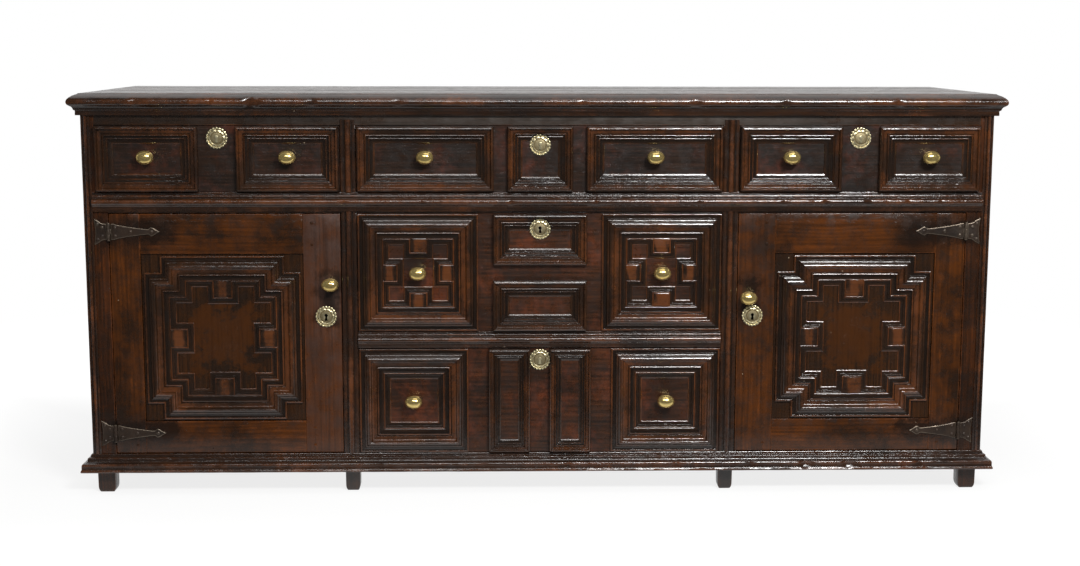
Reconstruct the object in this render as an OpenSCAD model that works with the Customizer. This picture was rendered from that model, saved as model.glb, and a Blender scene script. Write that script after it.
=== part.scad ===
// Joined oak dresser base with applied geometric mouldings.
// Width runs along X, the front faces -Y, and Z = 0 is the floor.
// The origin is below the middle of the whole object, knobs and cornice included.

/* [Carcass] */
// Width over the corner posts
carcass_w = 1940; // [1860:10:2060]
// Depth from the face of the posts to the back edge of the top
carcass_d = 548; // [520:1:600]
// Depth, front to back, of the front posts
post_d = 50; // [46:1:60]
// Width of a corner post beside the doors
corner_post_w = 50; // [44:1:60]
// Width of a corner post beside the top drawers
upper_post_w = 26; // [24:1:34]
// Width of an inner post
inner_post_w = 34; // [30:1:44]
// Depth, front to back, of the back posts
back_post_d = 45; // [38:1:56]
// Clear width between the two inner posts
centre_w = 784; // [700:2:860]

/* [Heights] */
// Clear height under the bottom rail
foot_h = 50; // [36:1:90]
// Height of the bottom rail
bottom_rail_h = 38; // [34:1:60]
// Height of the lower deep drawer's opening
lower_open_h = 232; // [200:1:260]
// Height of the rail between the deep drawers
drawer_rail_h = 36; // [32:1:50]
// Height of the upper deep drawer's opening
upper_open_h = 257; // [220:1:280]
// Height of the middle rail
mid_rail_h = 45; // [40:1:60]
// Height of the top drawers' openings
top_open_h = 142; // [130:1:160]
// Height of the top rail
top_rail_h = 40; // [36:1:60]
// Thickness of the top boards
top_t = 27; // [22:1:36]

/* [Frame stock] */
// Depth, front to back, of the front rails
rail_d = 40; // [38:1:44]
// Thickness of the end and back rails
frame_t = 26; // [24:1:30]
// Thickness of the back boards
back_board_t = 12; // [8:1:16]
// Thickness of the partitions
partition_t = 20; // [14:1:24]
// Thickness of the cupboard floor boards
floor_t = 12; // [8:1:18]
// Thickness of a tenon
tenon_t = 12; // [8:1:14]
// Length of a tenon
tenon_l = 24; // [16:1:28]
// Shoulder above and below a tenon
tenon_sh = 6; // [4:1:10]
// Diameter of a frame peg
peg_dia = 8; // [6:0.5:10]
// Width of the upright in the middle of an end frame
end_muntin_w = 60; // [40:1:90]
// Number of back boards
back_boards_n = 8; // [6:1:12]
// Number of floor boards in each cupboard
floor_boards_n = 3; // [2:1:5]
// Number of planks in the top
top_boards_n = 3; // [2:1:4]

/* [Carcass mouldings] */
// How far the cornice stands out
cornice_p = 24; // [16:1:34]
// Height of the cornice
cornice_h = 46; // [40:1:56]
// How far the base moulding stands out
base_p = 24; // [16:1:34]
// How far the rail mouldings stand out
rail_mould_p = 14; // [8:1:18]
// Width of the bead strip on a corner post
corner_bead_w = 19; // [15:1:22]
// Width of the bead strip on an inner post
inner_bead_w = 30; // [20:1:30]
// How far a bead strip stands out
bead_p = 6; // [4:0.5:9]
// How far the bead strips of the inner posts run up over the top rail
bead_rise = 12; // [4:1:16]

/* [Feet] */
// Width of a corner foot
corner_foot_w = 37; // [28:1:44]
// Width of an inner foot
inner_foot_w = 31; // [24:1:33]
// How far the lower edges of a foot are worn in at the floor
foot_wear = 4; // [2:0.5:6]

/* [Drawers] */
// Gap beside and above a drawer front
drawer_gap = 1; // [0.6:0.1:2]
// Thickness of a drawer front
drawer_front_t = 24; // [20:1:26]
// Thickness of a drawer side
drawer_side_t = 14; // [12:1:18]
// Thickness of a drawer bottom
drawer_bottom_t = 10; // [6:1:12]
// Depth of a drawer from its face to its back
drawer_d = 455; // [380:1:460]
// How far a drawer slides out
drawer_travel = 320; // [200:10:340]
// How far the back and sides stop below the top of the front
drawer_side_drop = 6; // [2:1:12]
// Wood left in front of the dovetails
lap_t = 8; // [5:1:10]
// Number of dovetails at each corner
dovetails_n = 3; // [2:1:4]
// Height of a runner
runner_h = 16; // [12:1:22]
// Depth of the groove in a drawer side
groove_d = 8; // [5:1:9]
// Clearance of a runner in its groove
runner_gap = 0.5; // [0.3:0.1:1]

/* [Drawer mouldings] */
// Plain strip between the panels of the left and right top drawers
side_strip = 80; // [60:1:110]
// Plain strip on each side of the small panel of the middle top drawer
centre_strip = 29; // [15:1:45]
// Width of the small panel on the middle top drawer
keyhole_panel_w = 140; // [110:1:150]
// Width of a moulding on the top drawers
small_mould_w = 38; // [28:1:42]
// Width of the moulding round the small panel of the middle top drawer
keyhole_mould_w = 32; // [26:1:38]
// How far a moulding on the top drawers stands out
small_mould_p = 14; // [10:1:18]
// Plain strip beside each big panel of the upper deep drawer
block_strip = 32; // [15:1:45]
// Width of the outer moulding on the big panels
big_mould_w = 52; // [46:1:56]
// How far the outer moulding on the big panels stands out
big_mould_p = 17; // [12:1:22]
// Width of the small panels in the middle of the upper deep drawer
stack_panel_w = 202; // [170:1:210]
// Width of the moulding on the small panels
stack_mould_w = 36; // [26:1:40]
// Plain strip between the two small panels
stack_strip = 34; // [20:1:50]
// Plain strip beside each big panel of the lower deep drawer
square_strip = 44; // [25:1:55]
// Width of the tall panels on the lower deep drawer
tall_panel_w = 90; // [80:1:100]
// Plain strip between the tall panels
tall_strip = 42; // [30:1:48]
// Width of the moulding on the tall panels
tall_mould_w = 27; // [20:1:32]
// Width of the inner moulding
inner_mould_w = 15; // [10:1:18]
// How far the inner moulding and its blocks stand out
inner_mould_p = 7; // [4:0.5:10]
// Width of a block on a drawer
drawer_block_w = 34; // [26:1:40]
// How far a block on a drawer reaches into the panel
drawer_block_d = 30; // [22:1:34]

/* [Doors] */
// Gap round a door
door_gap = 1.5; // [1:0.1:3]
// Thickness of a door frame
door_t = 26; // [24:1:30]
// Width of the stile that carries the lock
lock_stile_w = 80; // [72:1:90]
// Width of the stile that carries the hinges
hinge_stile_w = 64; // [56:1:76]
// Height of a door's top rail
door_top_h = 86; // [60:1:100]
// Height of a door's bottom rail
door_bottom_h = 70; // [60:1:100]
// Depth of the grooves that hold a panel
panel_groove = 9; // [6:1:12]
// Thickness of a panel's edge
panel_edge_t = 8; // [6:1:9]
// How far a door panel lies back from the frame
panel_back = 4; // [2:0.5:6]
// Plain edge of a door panel beside its cross
cross_side = 6.5; // [3:0.5:20]
// Plain edge of a door panel above and below its cross
cross_end = 5; // [3:0.5:20]
// Size of the step at each corner of the cross
cross_step = 35; // [25:1:45]
// Width of a block on a door
door_block_w = 38; // [28:1:46]
// How far a block on a door reaches into the panel
door_block_d = 37; // [28:1:44]
// How far a door swings
door_swing = 170; // [90:5:175]

/* [Brasses] */
// Length of a knob
knob_l = 37; // [28:1:44]
// Thickness of a knob
knob_t = 30; // [22:1:36]
// How far a knob stands out
knob_reach = 34; // [30:1:44]
// Diameter of a knob's neck
knob_neck = 10; // [7:0.5:13]
// Diameter of a knob's stem
stem_dia = 6; // [4:0.5:8]
// Width of the nut behind a knob
nut_w = 14; // [11:1:18]
// Diameter of an escutcheon
escutcheon_dia = 47; // [38:1:50]
// Thickness of an escutcheon at its rim
escutcheon_t = 3; // [2:0.5:4]
// Diameter of a keyhole's round end
keyhole_dia = 7; // [5:0.5:9]
// Length of a keyhole
keyhole_l = 15; // [11:1:18]
// Height of the knobs above the underside of the top drawers' openings
top_knob_up = 75; // [65:1:85]
// Height of the escutcheons of the side drawers above the same
top_key_up = 115; // [100:1:118]
// Height of the escutcheon of the middle top drawer above the same
centre_key_up = 101; // [90:1:106]
// Distance of the lower deep drawer's escutcheon from the top of its opening
lower_key_down = 26; // [26:1:40]
// Height of a door's keyhole above the door's lower edge
door_key_up = 300; // [200:1:300]
// Height of the left door's knob above its keyhole
left_knob_over = 71; // [42:1:100]
// Height of the right door's knob above its keyhole
right_knob_over = 41; // [41:1:100]
// Distance of a door's knob from the door's edge
door_knob_in = 20; // [20:1:40]

/* [Locks] */
// Distance from a keyhole to the edge that the bolt leaves
key_to_edge = 33; // [30:1:40]
// Width of a lock plate
lock_w = 66; // [60:1:66]
// Height of a lock plate below the keyhole
lock_below = 24; // [20:1:30]
// Depth of a lock case
lock_t = 12; // [10:1:14]
// Wall of a lock case
lock_wall = 1.5; // [1:0.1:2]
// Width of a lock bolt
bolt_w = 28; // [20:1:34]
// Thickness of a lock bolt
bolt_t = 6; // [4:0.5:7]
// How far a lock bolt shoots
bolt_throw = 10; // [6:0.5:12]
// Clearance round a lock bolt
bolt_gap = 0.4; // [0.3:0.1:0.8]

/* [Hinges] */
// Thickness of the iron
iron_t = 2.5; // [2:0.1:3.5]
// Height of the hinge knuckle
knuckle_h = 34; // [28:1:44]
// Outer diameter of the knuckle
knuckle_dia = 8.4; // [8:0.2:10]
// Diameter of the hinge pin
pin_dia = 4.4; // [3.6:0.2:5]
// Radial clearance of the hinge pin
pin_gap = 0.05; // [0.02:0.01:0.1]
// Height of a butterfly plate at its outer edge
plate_h = 56; // [44:1:64]
// Length of a strap to its finial
strap_l = 86; // [60:1:100]
// Length of a strap's finial
finial_l = 22; // [16:1:28]
// Distance from a door's top edge to the middle of the upper hinge
hinge_down = 38; // [32:1:60]
// Distance from a door's bottom edge to the middle of the lower hinge
hinge_up = 44; // [36:1:60]
// Diameter of a hinge nail's shank
nail_dia = 3; // [2:0.2:4]
// Diameter of a hinge nail's head
nail_head = 8; // [6:0.5:10]

/* [Hidden] */

oak = "#3a1c10";
oak_dark = "#26130c";
oak_inside = "#7a5a3a";
brass = "#c9a24a";
iron = "#2b2724";

$fn = 48;
// Overrun of a cutting shape past the face that it cuts
cut = 1;
// Clearance of a tenon in its mortice and of a board in its place
fit = 0.2;
// Gap between boards that lie side by side
board_gap = 0.8;
// Gap at a shoulder, and half the gap at a mitre
joint = 0.1;
// Gap round the raised field of a panel
field_gap = 1;
// Length of an upright stub tenon, and of the tenons in the narrow posts
stub_l = 14;
inner_tenon_l = (inner_post_w - tenon_sh)/2;
upper_tenon_l = upper_post_w - tenon_sh;
door_tenon_l = 38;
// Height at which a post has its full width again above the foot, short of the rail, and the slope below it
taper_end = foot_h - 1;
foot_slope = 6;
// Gap between a door's back and the floor boards, and between a drawer front and its outer runner
stop_gap = 1;
runner_start = drawer_front_t + 6;
// Length of a butterfly plate, from the pin to the bead strip
plate_l = corner_post_w + door_gap/2 - corner_bead_w - 1;
// Plate left beside a lock's case, below it, and how far its screws lie from the plate's edge
lock_ear = 12;
lock_foot = 4;
lock_screw_in = 6;
// Diameter of the spindle that the key turns on
spindle_dia = 2.4;
door_peg_dia = peg_dia - 1;
// How far the middle rail's moulding starts above the rail's underside
mid_mould_up = 4;
// How much taller a bearer is than its runners, above and below
bearer_extra = 8;
// Plain edge of a drawer front round its mouldings
mould_margin = 1;
// Depth of a groove for a drawer bottom and its height above the drawer's underside
bottom_groove = 5;
bottom_up = 8;
// Length of a hinge nail in the wood and of a lock screw
nail_l = 16;
peg_l = frame_t - 4;
screw_l = 9;
screw_dia = 3;
// How far a lock stays back from the edge of its board, and the length of its bolt
lock_set = 1;
bolt_l = 24;

// Heights of the rails' edges, from the floor up
z_bottom = foot_h;
z_lower = z_bottom + bottom_rail_h;
z_drawer_rail = z_lower + lower_open_h;
z_upper = z_drawer_rail + drawer_rail_h;
z_mid = z_upper + upper_open_h;
z_top_open = z_mid + mid_rail_h;
z_top_rail = z_top_open + top_open_h;
z_boards = z_top_rail + top_rail_h;
z_top = z_boards + top_t;

// Half widths of the openings
x_side = carcass_w/2;
x_door = x_side - corner_post_w;
x_upper = x_side - upper_post_w;
x_centre = centre_w/2;
x_post = x_centre + inner_post_w;
x_post_mid = x_centre + inner_post_w/2;

// Depths, measured back from the face of the posts
y_back_post = carcass_d - back_post_d;
y_back_rail = carcass_d - back_board_t - frame_t;
y_boards = carcass_d - back_board_t;

// The carcass face lies here, so that the whole object is centred front to back
face_y = -(carcass_d + knob_reach)/2 + knob_reach;

// Hinge axis, measured from the carcass face
hinge_x = x_door - door_gap/2;
hinge_y = -knuckle_dia/2 - 0.4;
door_z0 = z_lower + door_gap;
door_z1 = z_mid - door_gap;
door_x0 = x_post + door_gap;
door_x1 = x_door - door_gap;
door_cx = (door_x0 + lock_stile_w + door_x1 - hinge_stile_w)/2;
door_cz = (door_z0 + door_bottom_h + door_z1 - door_top_h)/2;
hinge_zs = [door_z0 + hinge_up, door_z1 - hinge_down];
// Size of the cross, which fills a door's panel but for its plain edge
cross_w = door_x1 - hinge_stile_w - door_x0 - lock_stile_w - 2*cross_side;
cross_h = door_z1 - door_top_h - door_z0 - door_bottom_h - 2*cross_end;

// Widths of the moulded panels, which share a drawer front with its plain strips
mould_edge = drawer_gap + mould_margin;
side_panel_w = (x_upper - x_post - 2*mould_edge - side_strip)/2;
centre_panel_w = (centre_w - 2*mould_edge - keyhole_panel_w)/2 - centre_strip;
block_panel_w = (centre_w - 2*mould_edge - stack_panel_w)/2 - block_strip;
square_panel_w = (centre_w - 2*mould_edge - tall_strip)/2 - tall_panel_w - square_strip;

// Keyholes, knobs and escutcheons
door_key_x = door_x0 + key_to_edge;
door_key_z = door_z0 + door_key_up;
door_knob_x = door_x0 + door_knob_in;
left_knob_z = door_key_z + left_knob_over;
right_knob_z = door_key_z + right_knob_over;
centre_key_z = z_top_open + centre_key_up;
lower_key_z = z_drawer_rail - lower_key_down;
top_knob_z = z_top_open + top_knob_up;
top_key_z = z_top_open + top_key_up;

// Moves a piece drawn from the carcass face to its place
module place() translate([0, face_y, 0]) children();
// Turns a piece drawn flat, with its height up, so that it stands and faces the front
module stand() rotate([90, 0, 0]) children();
// Draws a piece on the right or mirrored on the left
module on_side(side) mirror([side < 0 ? 1 : 0, 0, 0]) children();
module both_sides() {
    children();
    mirror([1, 0, 0]) children();
}
// A board between two corners
module board(a, b) translate(a) cube(b - a);

// Points along an arc, from angle a to angle b
function arc(c, r, a, b, n = 6) = [for (i = [0:n]) c + r*[cos(a + (b - a)*i/n), sin(a + (b - a)*i/n)]];
// Unit vector to the left of the run from a to b
function inward(a, b) = let (d = (b - a)/norm(b - a)) [-d[1], d[0]];

// Outlines, anticlockwise
function rect_outline(w, h) = [[-w/2, -h/2], [w/2, -h/2], [w/2, h/2], [-w/2, h/2]];
function cross_outline(w, h, s) = let (x = w/2, y = h/2) [
    [-x + s, -y], [x - s, -y], [x - s, -y + s], [x, -y + s],
    [x, y - s], [x - s, y - s], [x - s, y], [-x + s, y],
    [-x + s, y - s], [-x, y - s], [-x, -y + s], [-x + s, -y + s]
];
// One quarter of an outline with a step s at the corner and half a block on each side,
// turned through q quarter turns. s = 0 leaves the corner square.
function block_outline(w, h, s, bw, bd) = let (
    x = w/2, y = h/2, b = bw/2,
    corner = function (sx, sy) s > 0 ?
        (sx*sy > 0 ? [[sx*x, sy*(y - s)], [sx*(x - s), sy*(y - s)], [sx*(x - s), sy*y]]
                   : [[sx*(x - s), sy*y], [sx*(x - s), sy*(y - s)], [sx*x, sy*(y - s)]])
        : [[sx*x, sy*y]]
) concat(
    [[-b, -y], [-b, -y + bd], [b, -y + bd], [b, -y]], corner(1, -1),
    [[x, -b], [x - bd, -b], [x - bd, b], [x, b]], corner(1, 1),
    [[b, y], [b, y - bd], [-b, y - bd], [-b, y]], corner(-1, 1),
    [[-x, b], [-x + bd, b], [-x + bd, -b], [-x, -b]], corner(-1, -1)
);

// Moulding sections as [distance in from the outer edge, height].
// The big one has a fillet, a ridge, a hollow and a bead; the small one starts at the ridge.
function bolection(w, p) = [
    [0, 0], [0, 0.32*p], [0.07*w, 0.36*p], [0.08*w, 0.3*p], [0.15*w, 0.34*p], [0.2*w, 0.45*p],
    [0.25*w, 0.64*p], [0.3*w, 0.86*p], [0.36*w, 0.98*p], [0.4*w, p], [0.43*w, 0.96*p], [0.48*w, 0.8*p],
    [0.55*w, 0.64*p], [0.63*w, 0.53*p], [0.7*w, 0.49*p], [0.715*w, 0.44*p], [0.73*w, 0.55*p],
    [0.775*w, 0.6*p], [0.82*w, 0.55*p], [0.835*w, 0.42*p], [0.9*w, 0.38*p], [w, 0.34*p], [w, 0]
];
function edge_section(w, p) = [
    [0, 0], [0, 0.8*p], [0.03*w, 0.95*p], [0.08*w, p], [0.11*w, 0.95*p], [0.15*w, 0.84*p],
    [0.22*w, 0.68*p], [0.32*w, 0.55*p], [0.41*w, 0.5*p], [0.42*w, 0.44*p], [0.44*w, 0.57*p],
    [0.49*w, 0.64*p], [0.54*w, 0.59*p], [0.56*w, 0.45*p], [0.65*w, 0.42*p], [0.66*w, 0.33*p],
    [0.7*w, 0.37*p], [0.77*w, 0.34*p], [0.79*w, 0.22*p], [0.9*w, 0.18*p], [0.92*w, 0.1*p], [w, 0.08*p], [w, 0]
];
function inner_section(w, p) = [
    [0, 0], [0, p], [0.2*w, p], [0.2*w, 0.8*p], [0.36*w, 0.86*p], [0.52*w, 0.8*p],
    [0.58*w, 0.5*p], [0.78*w, 0.34*p], [w, 0.26*p], [w, 0]
];

// A mitred run of moulding round a closed outline, lying flat with its height up.
// Each side is its own length, cut at both ends along the line that halves the corner.
module mitred_run(outline, width, section) {
    n = len(outline);
    tall = max([for (q = section) q[1]]) + cut;
    for (i = [0:n - 1]) {
        a = outline[i];
        b = outline[(i + 1) % n];
        before = inward(outline[(i + n - 1) % n], a);
        here = inward(a, b);
        after = inward(b, outline[(i + 2) % n]);
        intersection() {
            translate([0, 0, -cut])
                linear_extrude(tall + cut) {
                    g = joint*(b - a)/norm(b - a);
                    polygon([a + g, b - g, b - g + width*(here + after), a + g + width*(before + here)]);
                }
            translate([a[0], a[1], 0])
                rotate([0, 0, atan2(b[1] - a[1], b[0] - a[0])])
                    rotate([90, 0, 90])
                        translate([0, 0, -width - cut])
                            linear_extrude(norm(b - a) + 2*(width + cut))
                                polygon(section);
        }
    }
}

// A plain mitred panel, its centre at (x, z) on the face
module panel_ring(x, z, w, h, mould_w, section)
    translate([x, 0, z]) stand()
        mitred_run(rect_outline(w, h), mould_w, section);
module small_panel(x, z, w, h, mould_w)
    panel_ring(x, z, w, h, mould_w, edge_section(mould_w, small_mould_p));
module big_panel(x, z, w, h)
    panel_ring(x, z, w, h, big_mould_w, bolection(big_mould_w, big_mould_p));

// The four flat blocks that stand in from the sides of an inner panel
module blocks(w, h, bw, bd, p) {
    wide = bw - 2*joint;
    deep = bd - joint;
    for (s = [-1, 1]) {
        translate([-wide/2, s > 0 ? h/2 - deep : -h/2, 0]) cube([wide, deep, p]);
        translate([s > 0 ? w/2 - deep : -w/2, -wide/2, 0]) cube([deep, wide, p]);
    }
}
// The inner moulding round four blocks, with the blocks, inside an outer moulding that leaves w by h
module block_work(w, h, step, bw, bd) {
    in_w = w - 2*joint;
    in_h = h - 2*joint;
    mitred_run(block_outline(in_w, in_h, step, bw, bd), inner_mould_w, inner_section(inner_mould_w, inner_mould_p));
    blocks(in_w, in_h, bw, bd, inner_mould_p);
}

// Section along X of a moulding, drawn as [out from the face, up]
module run_x(x0, x1, section)
    translate([x0, 0, 0])
        rotate([90, 0, 90])
            linear_extrude(x1 - x0)
                polygon([for (q = section) [-q[0], q[1]]]);

// A moulding round the front and both ends of the carcass, mitred at the front corners.
// The section is [out from the face, up].
module carcass_run(section, out) {
    length = carcass_d;
    tall = z_top + cut;
    intersection() {
        run_x(-x_side - out - cut, x_side + out + cut, section);
        linear_extrude(tall)
            polygon([[joint - x_side, 0], [x_side - joint, 0], [x_side + out + cut - joint, -out - cut],
                [joint - x_side - out - cut, -out - cut]]);
    }
    both_sides()
        intersection() {
            translate([x_side, length, 0])
                rotate([90, 0, 0])
                    linear_extrude(length + out + cut)
                        polygon(section);
            linear_extrude(tall)
                polygon([[x_side, joint], [x_side, length], [x_side + out + cut, length],
                    [x_side + out + cut, joint - out - cut]]);
        }
}

// A tenon that leaves a shoulder at x and points towards +X, between heights z0 and z1
module tenon_x(x, z0, z1, y0, c = 0, length = tenon_l)
    board([x - cut, y0 - c, z0 + tenon_sh - c],
        [x + length + 2*c, y0 + tenon_t + c, z1 - tenon_sh + c]);
// A tenon that leaves a shoulder at y and points towards the front, dir -1, or the back, dir 1
module tenon_y(y, z0, z1, x0, dir, c = 0, length = tenon_l)
    board([x0 - c, dir > 0 ? y - cut : y - length - 2*c, z0 + tenon_sh - c],
        [x0 + tenon_t + c, dir > 0 ? y + length + 2*c : y + cut, z1 - tenon_sh + c]);

// Where the front rails' tenons lie, back from the face
front_tenon_y = 12;
// Where the end rails' tenons lie
end_tenon_x = x_side - frame_t/2 - tenon_t/2;
// Length of the tenons between the front and end frames, which meet in a corner post
end_tenon_l = post_d - front_tenon_y - tenon_t - 2;
// Heights of the rails in the end and back frames
end_rails = [[z_bottom, z_lower], [z_mid, z_top_open], [z_top_rail, z_boards]];
// Heights of the panels in the end frames
end_panel_zs = [[z_lower, z_mid], [z_top_open, z_top_rail]];
// Middle of the end frames, front to back
end_mid_y = (post_d + y_back_post)/2;

// Height of a peg from a rail's edge
function peg_zs(z0, z1) = let (m = (z0 + z1)/2, o = (z1 - z0)*0.2) [m - o, m + o];
module end_peg_set(c = 0)
    for (r = end_rails, z = peg_zs(r[0], r[1]), y = [post_d - end_tenon_l/2, y_back_post + tenon_l/2])
        translate([x_side, y, z])
            rotate([0, -90, 0])
                cylinder(h = peg_l + c, d = peg_dia + (c > 0 ? 2*pin_gap : 0));

// A post drawn in to a straight foot below the bottom rail, its lower edges worn round, seen from the front and
// from the side
function taper_outline(a0, a1, foot_w) =
    let (c = (a0 + a1)/2, b = foot_w/2, w = foot_wear, z = taper_end, neck = taper_end - foot_slope) [
        [c - b + w, 0], [c + b - w, 0], [c + b - w/3, w], [c + b, 3*w], [c + b, neck], [a1, z], [a1, z_boards],
        [a0, z_boards], [a0, z], [c - b, neck], [c - b, 3*w], [c - b + w/3, w]
    ];
module tapered_post(x0, x1, y0, y1, z1, foot_w)
    intersection() {
        board([x0, y0, 0], [x1, y1, z1]);
        translate([0, y1 + cut, 0])
            rotate([90, 0, 0])
                linear_extrude(y1 - y0 + 2*cut)
                    polygon(taper_outline(x0, x1, foot_w));
        translate([x0 - cut, 0, 0])
            rotate([90, 0, 90])
                linear_extrude(x1 - x0 + 2*cut)
                    polygon(taper_outline(y0, y1, foot_w));
    }

// Top boards, edge to edge
module top_boards() color(oak_dark) place() {
    w = carcass_d/top_boards_n;
    for (i = [0:top_boards_n - 1])
        board([-x_side, i*w + (i > 0 ? board_gap : 0), z_boards], [x_side, (i + 1)*w, z_top]);
}

// Moulded edge under the top: a rounded nose over a hollow and a flat band
module cornice() color(oak_dark) place()
    carcass_run([
        [0, z_top - cornice_h], [0.38*cornice_p, z_top - cornice_h],
        [0.38*cornice_p, z_top - 0.78*cornice_h], [0.5*cornice_p, z_top - 0.74*cornice_h],
        [0.58*cornice_p, z_top - 0.64*cornice_h], [0.84*cornice_p, z_top - 0.55*cornice_h],
        [cornice_p, z_top - 0.46*cornice_h], [cornice_p, z_top - 0.36*cornice_h],
        [0.86*cornice_p, z_top - 0.22*cornice_h], [0.6*cornice_p, z_top - 0.12*cornice_h],
        [0.34*cornice_p, z_top - 0.07*cornice_h], [0.14*cornice_p, z_top], [0, z_top]
    ], cornice_p);

// Moulding round the foot of the carcass
module base_moulding() color(oak_dark) place()
    carcass_run([
        [0, z_bottom], [0.86*base_p, z_bottom], [base_p, z_bottom + 0.16*bottom_rail_h],
        [base_p, z_bottom + 0.36*bottom_rail_h], [0.84*base_p, z_bottom + 0.48*bottom_rail_h],
        [0.6*base_p, z_bottom + 0.62*bottom_rail_h], [0.46*base_p, z_bottom + 0.8*bottom_rail_h],
        [0.28*base_p, z_bottom + 0.86*bottom_rail_h], [0.2*base_p, z_lower], [0, z_lower]
    ], base_p);

// Front rails' tenons on the right, all pointing to +X, grown by c for a mortice
module outer_front_tenons(c = 0) {
    tenon_x(x_door, z_bottom, z_lower, front_tenon_y, c);
    tenon_x(x_door, z_mid, z_top_open, front_tenon_y, c);
    tenon_x(x_upper, z_top_rail, z_boards, front_tenon_y, c, upper_tenon_l);
}
// Tenons that the centre rails put into the right inner post
module inner_front_tenons(c = 0) {
    tenon_x(x_centre, z_bottom, z_lower, front_tenon_y, c, inner_tenon_l);
    tenon_x(x_centre, z_drawer_rail, z_upper, front_tenon_y, c, inner_tenon_l);
}
// Tenon that the right bottom rail puts into the right inner post, pointing to -X
module cupboard_rail_tenon(c = 0)
    mirror([1, 0, 0]) tenon_x(-x_post, z_bottom, z_lower, front_tenon_y, c, inner_tenon_l);
// Upright tenon at height z, dir 1 up and -1 down, between x0 and x1
module tenon_z(x0, x1, z, dir, y0, c = 0)
    board([x0 + tenon_sh - c, y0 - c, dir > 0 ? z - cut : z - stub_l - 2*c],
        [x1 - tenon_sh + c, y0 + tenon_t + c, dir > 0 ? z + stub_l + 2*c : z + cut]);
module inner_post_stub(c = 0) tenon_z(x_centre, x_post, z_mid, 1, front_tenon_y, c);
module muntin_stubs(c = 0) {
    tenon_z(x_centre, x_post, z_top_open, -1, front_tenon_y, c);
    tenon_z(x_centre, x_post, z_top_rail, 1, front_tenon_y, c);
}
// Tenons of the end rails, into the post at y, dir -1 to the front and 1 to the back
module end_rail_tenons(y, dir, length, c = 0)
    for (r = end_rails)
        tenon_y(y, r[0], r[1], end_tenon_x, dir, c, length);
// Tenons of the back rails into the right back post
module back_rail_tenons(c = 0)
    for (r = end_rails)
        tenon_x(x_door, r[0], r[1], y_back_rail + (frame_t - tenon_t)/2, c);
// Upright stubs of the end muntins, into the rails below and above
module end_muntin_stubs(c = 0)
    for (p = end_panel_zs, e = [0, 1])
        board([end_tenon_x - c, end_mid_y - end_muntin_w/2 + panel_groove + tenon_sh - c,
                e == 0 ? p[0] - stub_l - 2*c : p[1] - cut],
            [end_tenon_x + tenon_t + c, end_mid_y + end_muntin_w/2 - panel_groove - tenon_sh + c,
                e == 0 ? p[0] + cut : p[1] + stub_l + 2*c]);
// The edges of the end panels, standing in their grooves; c grows them for the grooves
module end_panel_edges(c = 0)
    for (p = end_panel_zs, s = [0, 1])
        board([x_side - frame_t/2 - panel_edge_t/2 - c,
                (s == 0 ? post_d : end_mid_y + end_muntin_w/2) - panel_groove + 1 - 2*c,
                p[0] - panel_groove + 1 - 2*c],
            [x_side - frame_t/2 + panel_edge_t/2 + c,
                (s == 0 ? end_mid_y - end_muntin_w/2 : y_back_post) + panel_groove - 1 + 2*c,
                p[1] + panel_groove - 1 + 2*c]);

// Front corner post on the right: wide beside the door and narrow beside the top drawer
module front_corner_post()
    difference() {
        union() {
            tapered_post(x_door, x_side, 0, post_d, z_top_open, corner_foot_w);
            board([x_upper, 0, z_top_open - cut], [x_side, post_d, z_boards]);
        }
        outer_front_tenons(fit);
        end_rail_tenons(post_d, -1, end_tenon_l, fit);
        end_panel_edges(fit);
        end_peg_set(cut);
        for (z = hinge_zs)
            hinge_place(z) nail_set(plate_nails, cut);
    }
module back_corner_post()
    difference() {
        tapered_post(x_door, x_side, y_back_post, carcass_d, z_boards, corner_foot_w);
        end_rail_tenons(y_back_post, 1, tenon_l, fit);
        back_rail_tenons(fit);
        end_panel_edges(fit);
        end_peg_set(cut);
    }
module corner_posts() color(oak) place()
    both_sides() {
        front_corner_post();
        back_corner_post();
    }

// Posts between the cupboards and the deep drawers, and short posts between the top drawers
module inner_posts() color(oak) place()
    both_sides() {
        difference() {
            union() {
                tapered_post(x_centre, x_post, 0, post_d, z_mid - joint, inner_foot_w);
                inner_post_stub();
            }
            inner_front_tenons(fit);
            cupboard_rail_tenon(fit);
            door_bolt_room();
        }
        board([x_centre, 0, z_top_open + joint], [x_post, post_d, z_top_rail - joint]);
        muntin_stubs();
    }

// Bottom, drawer, middle and top rails
module front_rails() color(oak) place() {
    board([joint - x_centre, 0, z_bottom], [x_centre - joint, rail_d, z_lower]);
    board([joint - x_centre, 0, z_drawer_rail], [x_centre - joint, rail_d, z_upper]);
    both_sides() inner_front_tenons();
    both_sides() {
        board([x_post + joint, 0, z_bottom], [x_door - joint, rail_d, z_lower]);
        cupboard_rail_tenon();
    }
    difference() {
        union() {
            board([joint - x_door, 0, z_mid], [x_door - joint, rail_d, z_top_open]);
            board([joint - x_upper, 0, z_top_rail], [x_upper - joint, rail_d, z_boards]);
        }
        both_sides() {
            inner_post_stub(fit);
            muntin_stubs(fit);
        }
        drawer_bolt_room();
    }
    both_sides() outer_front_tenons();
}

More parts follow.
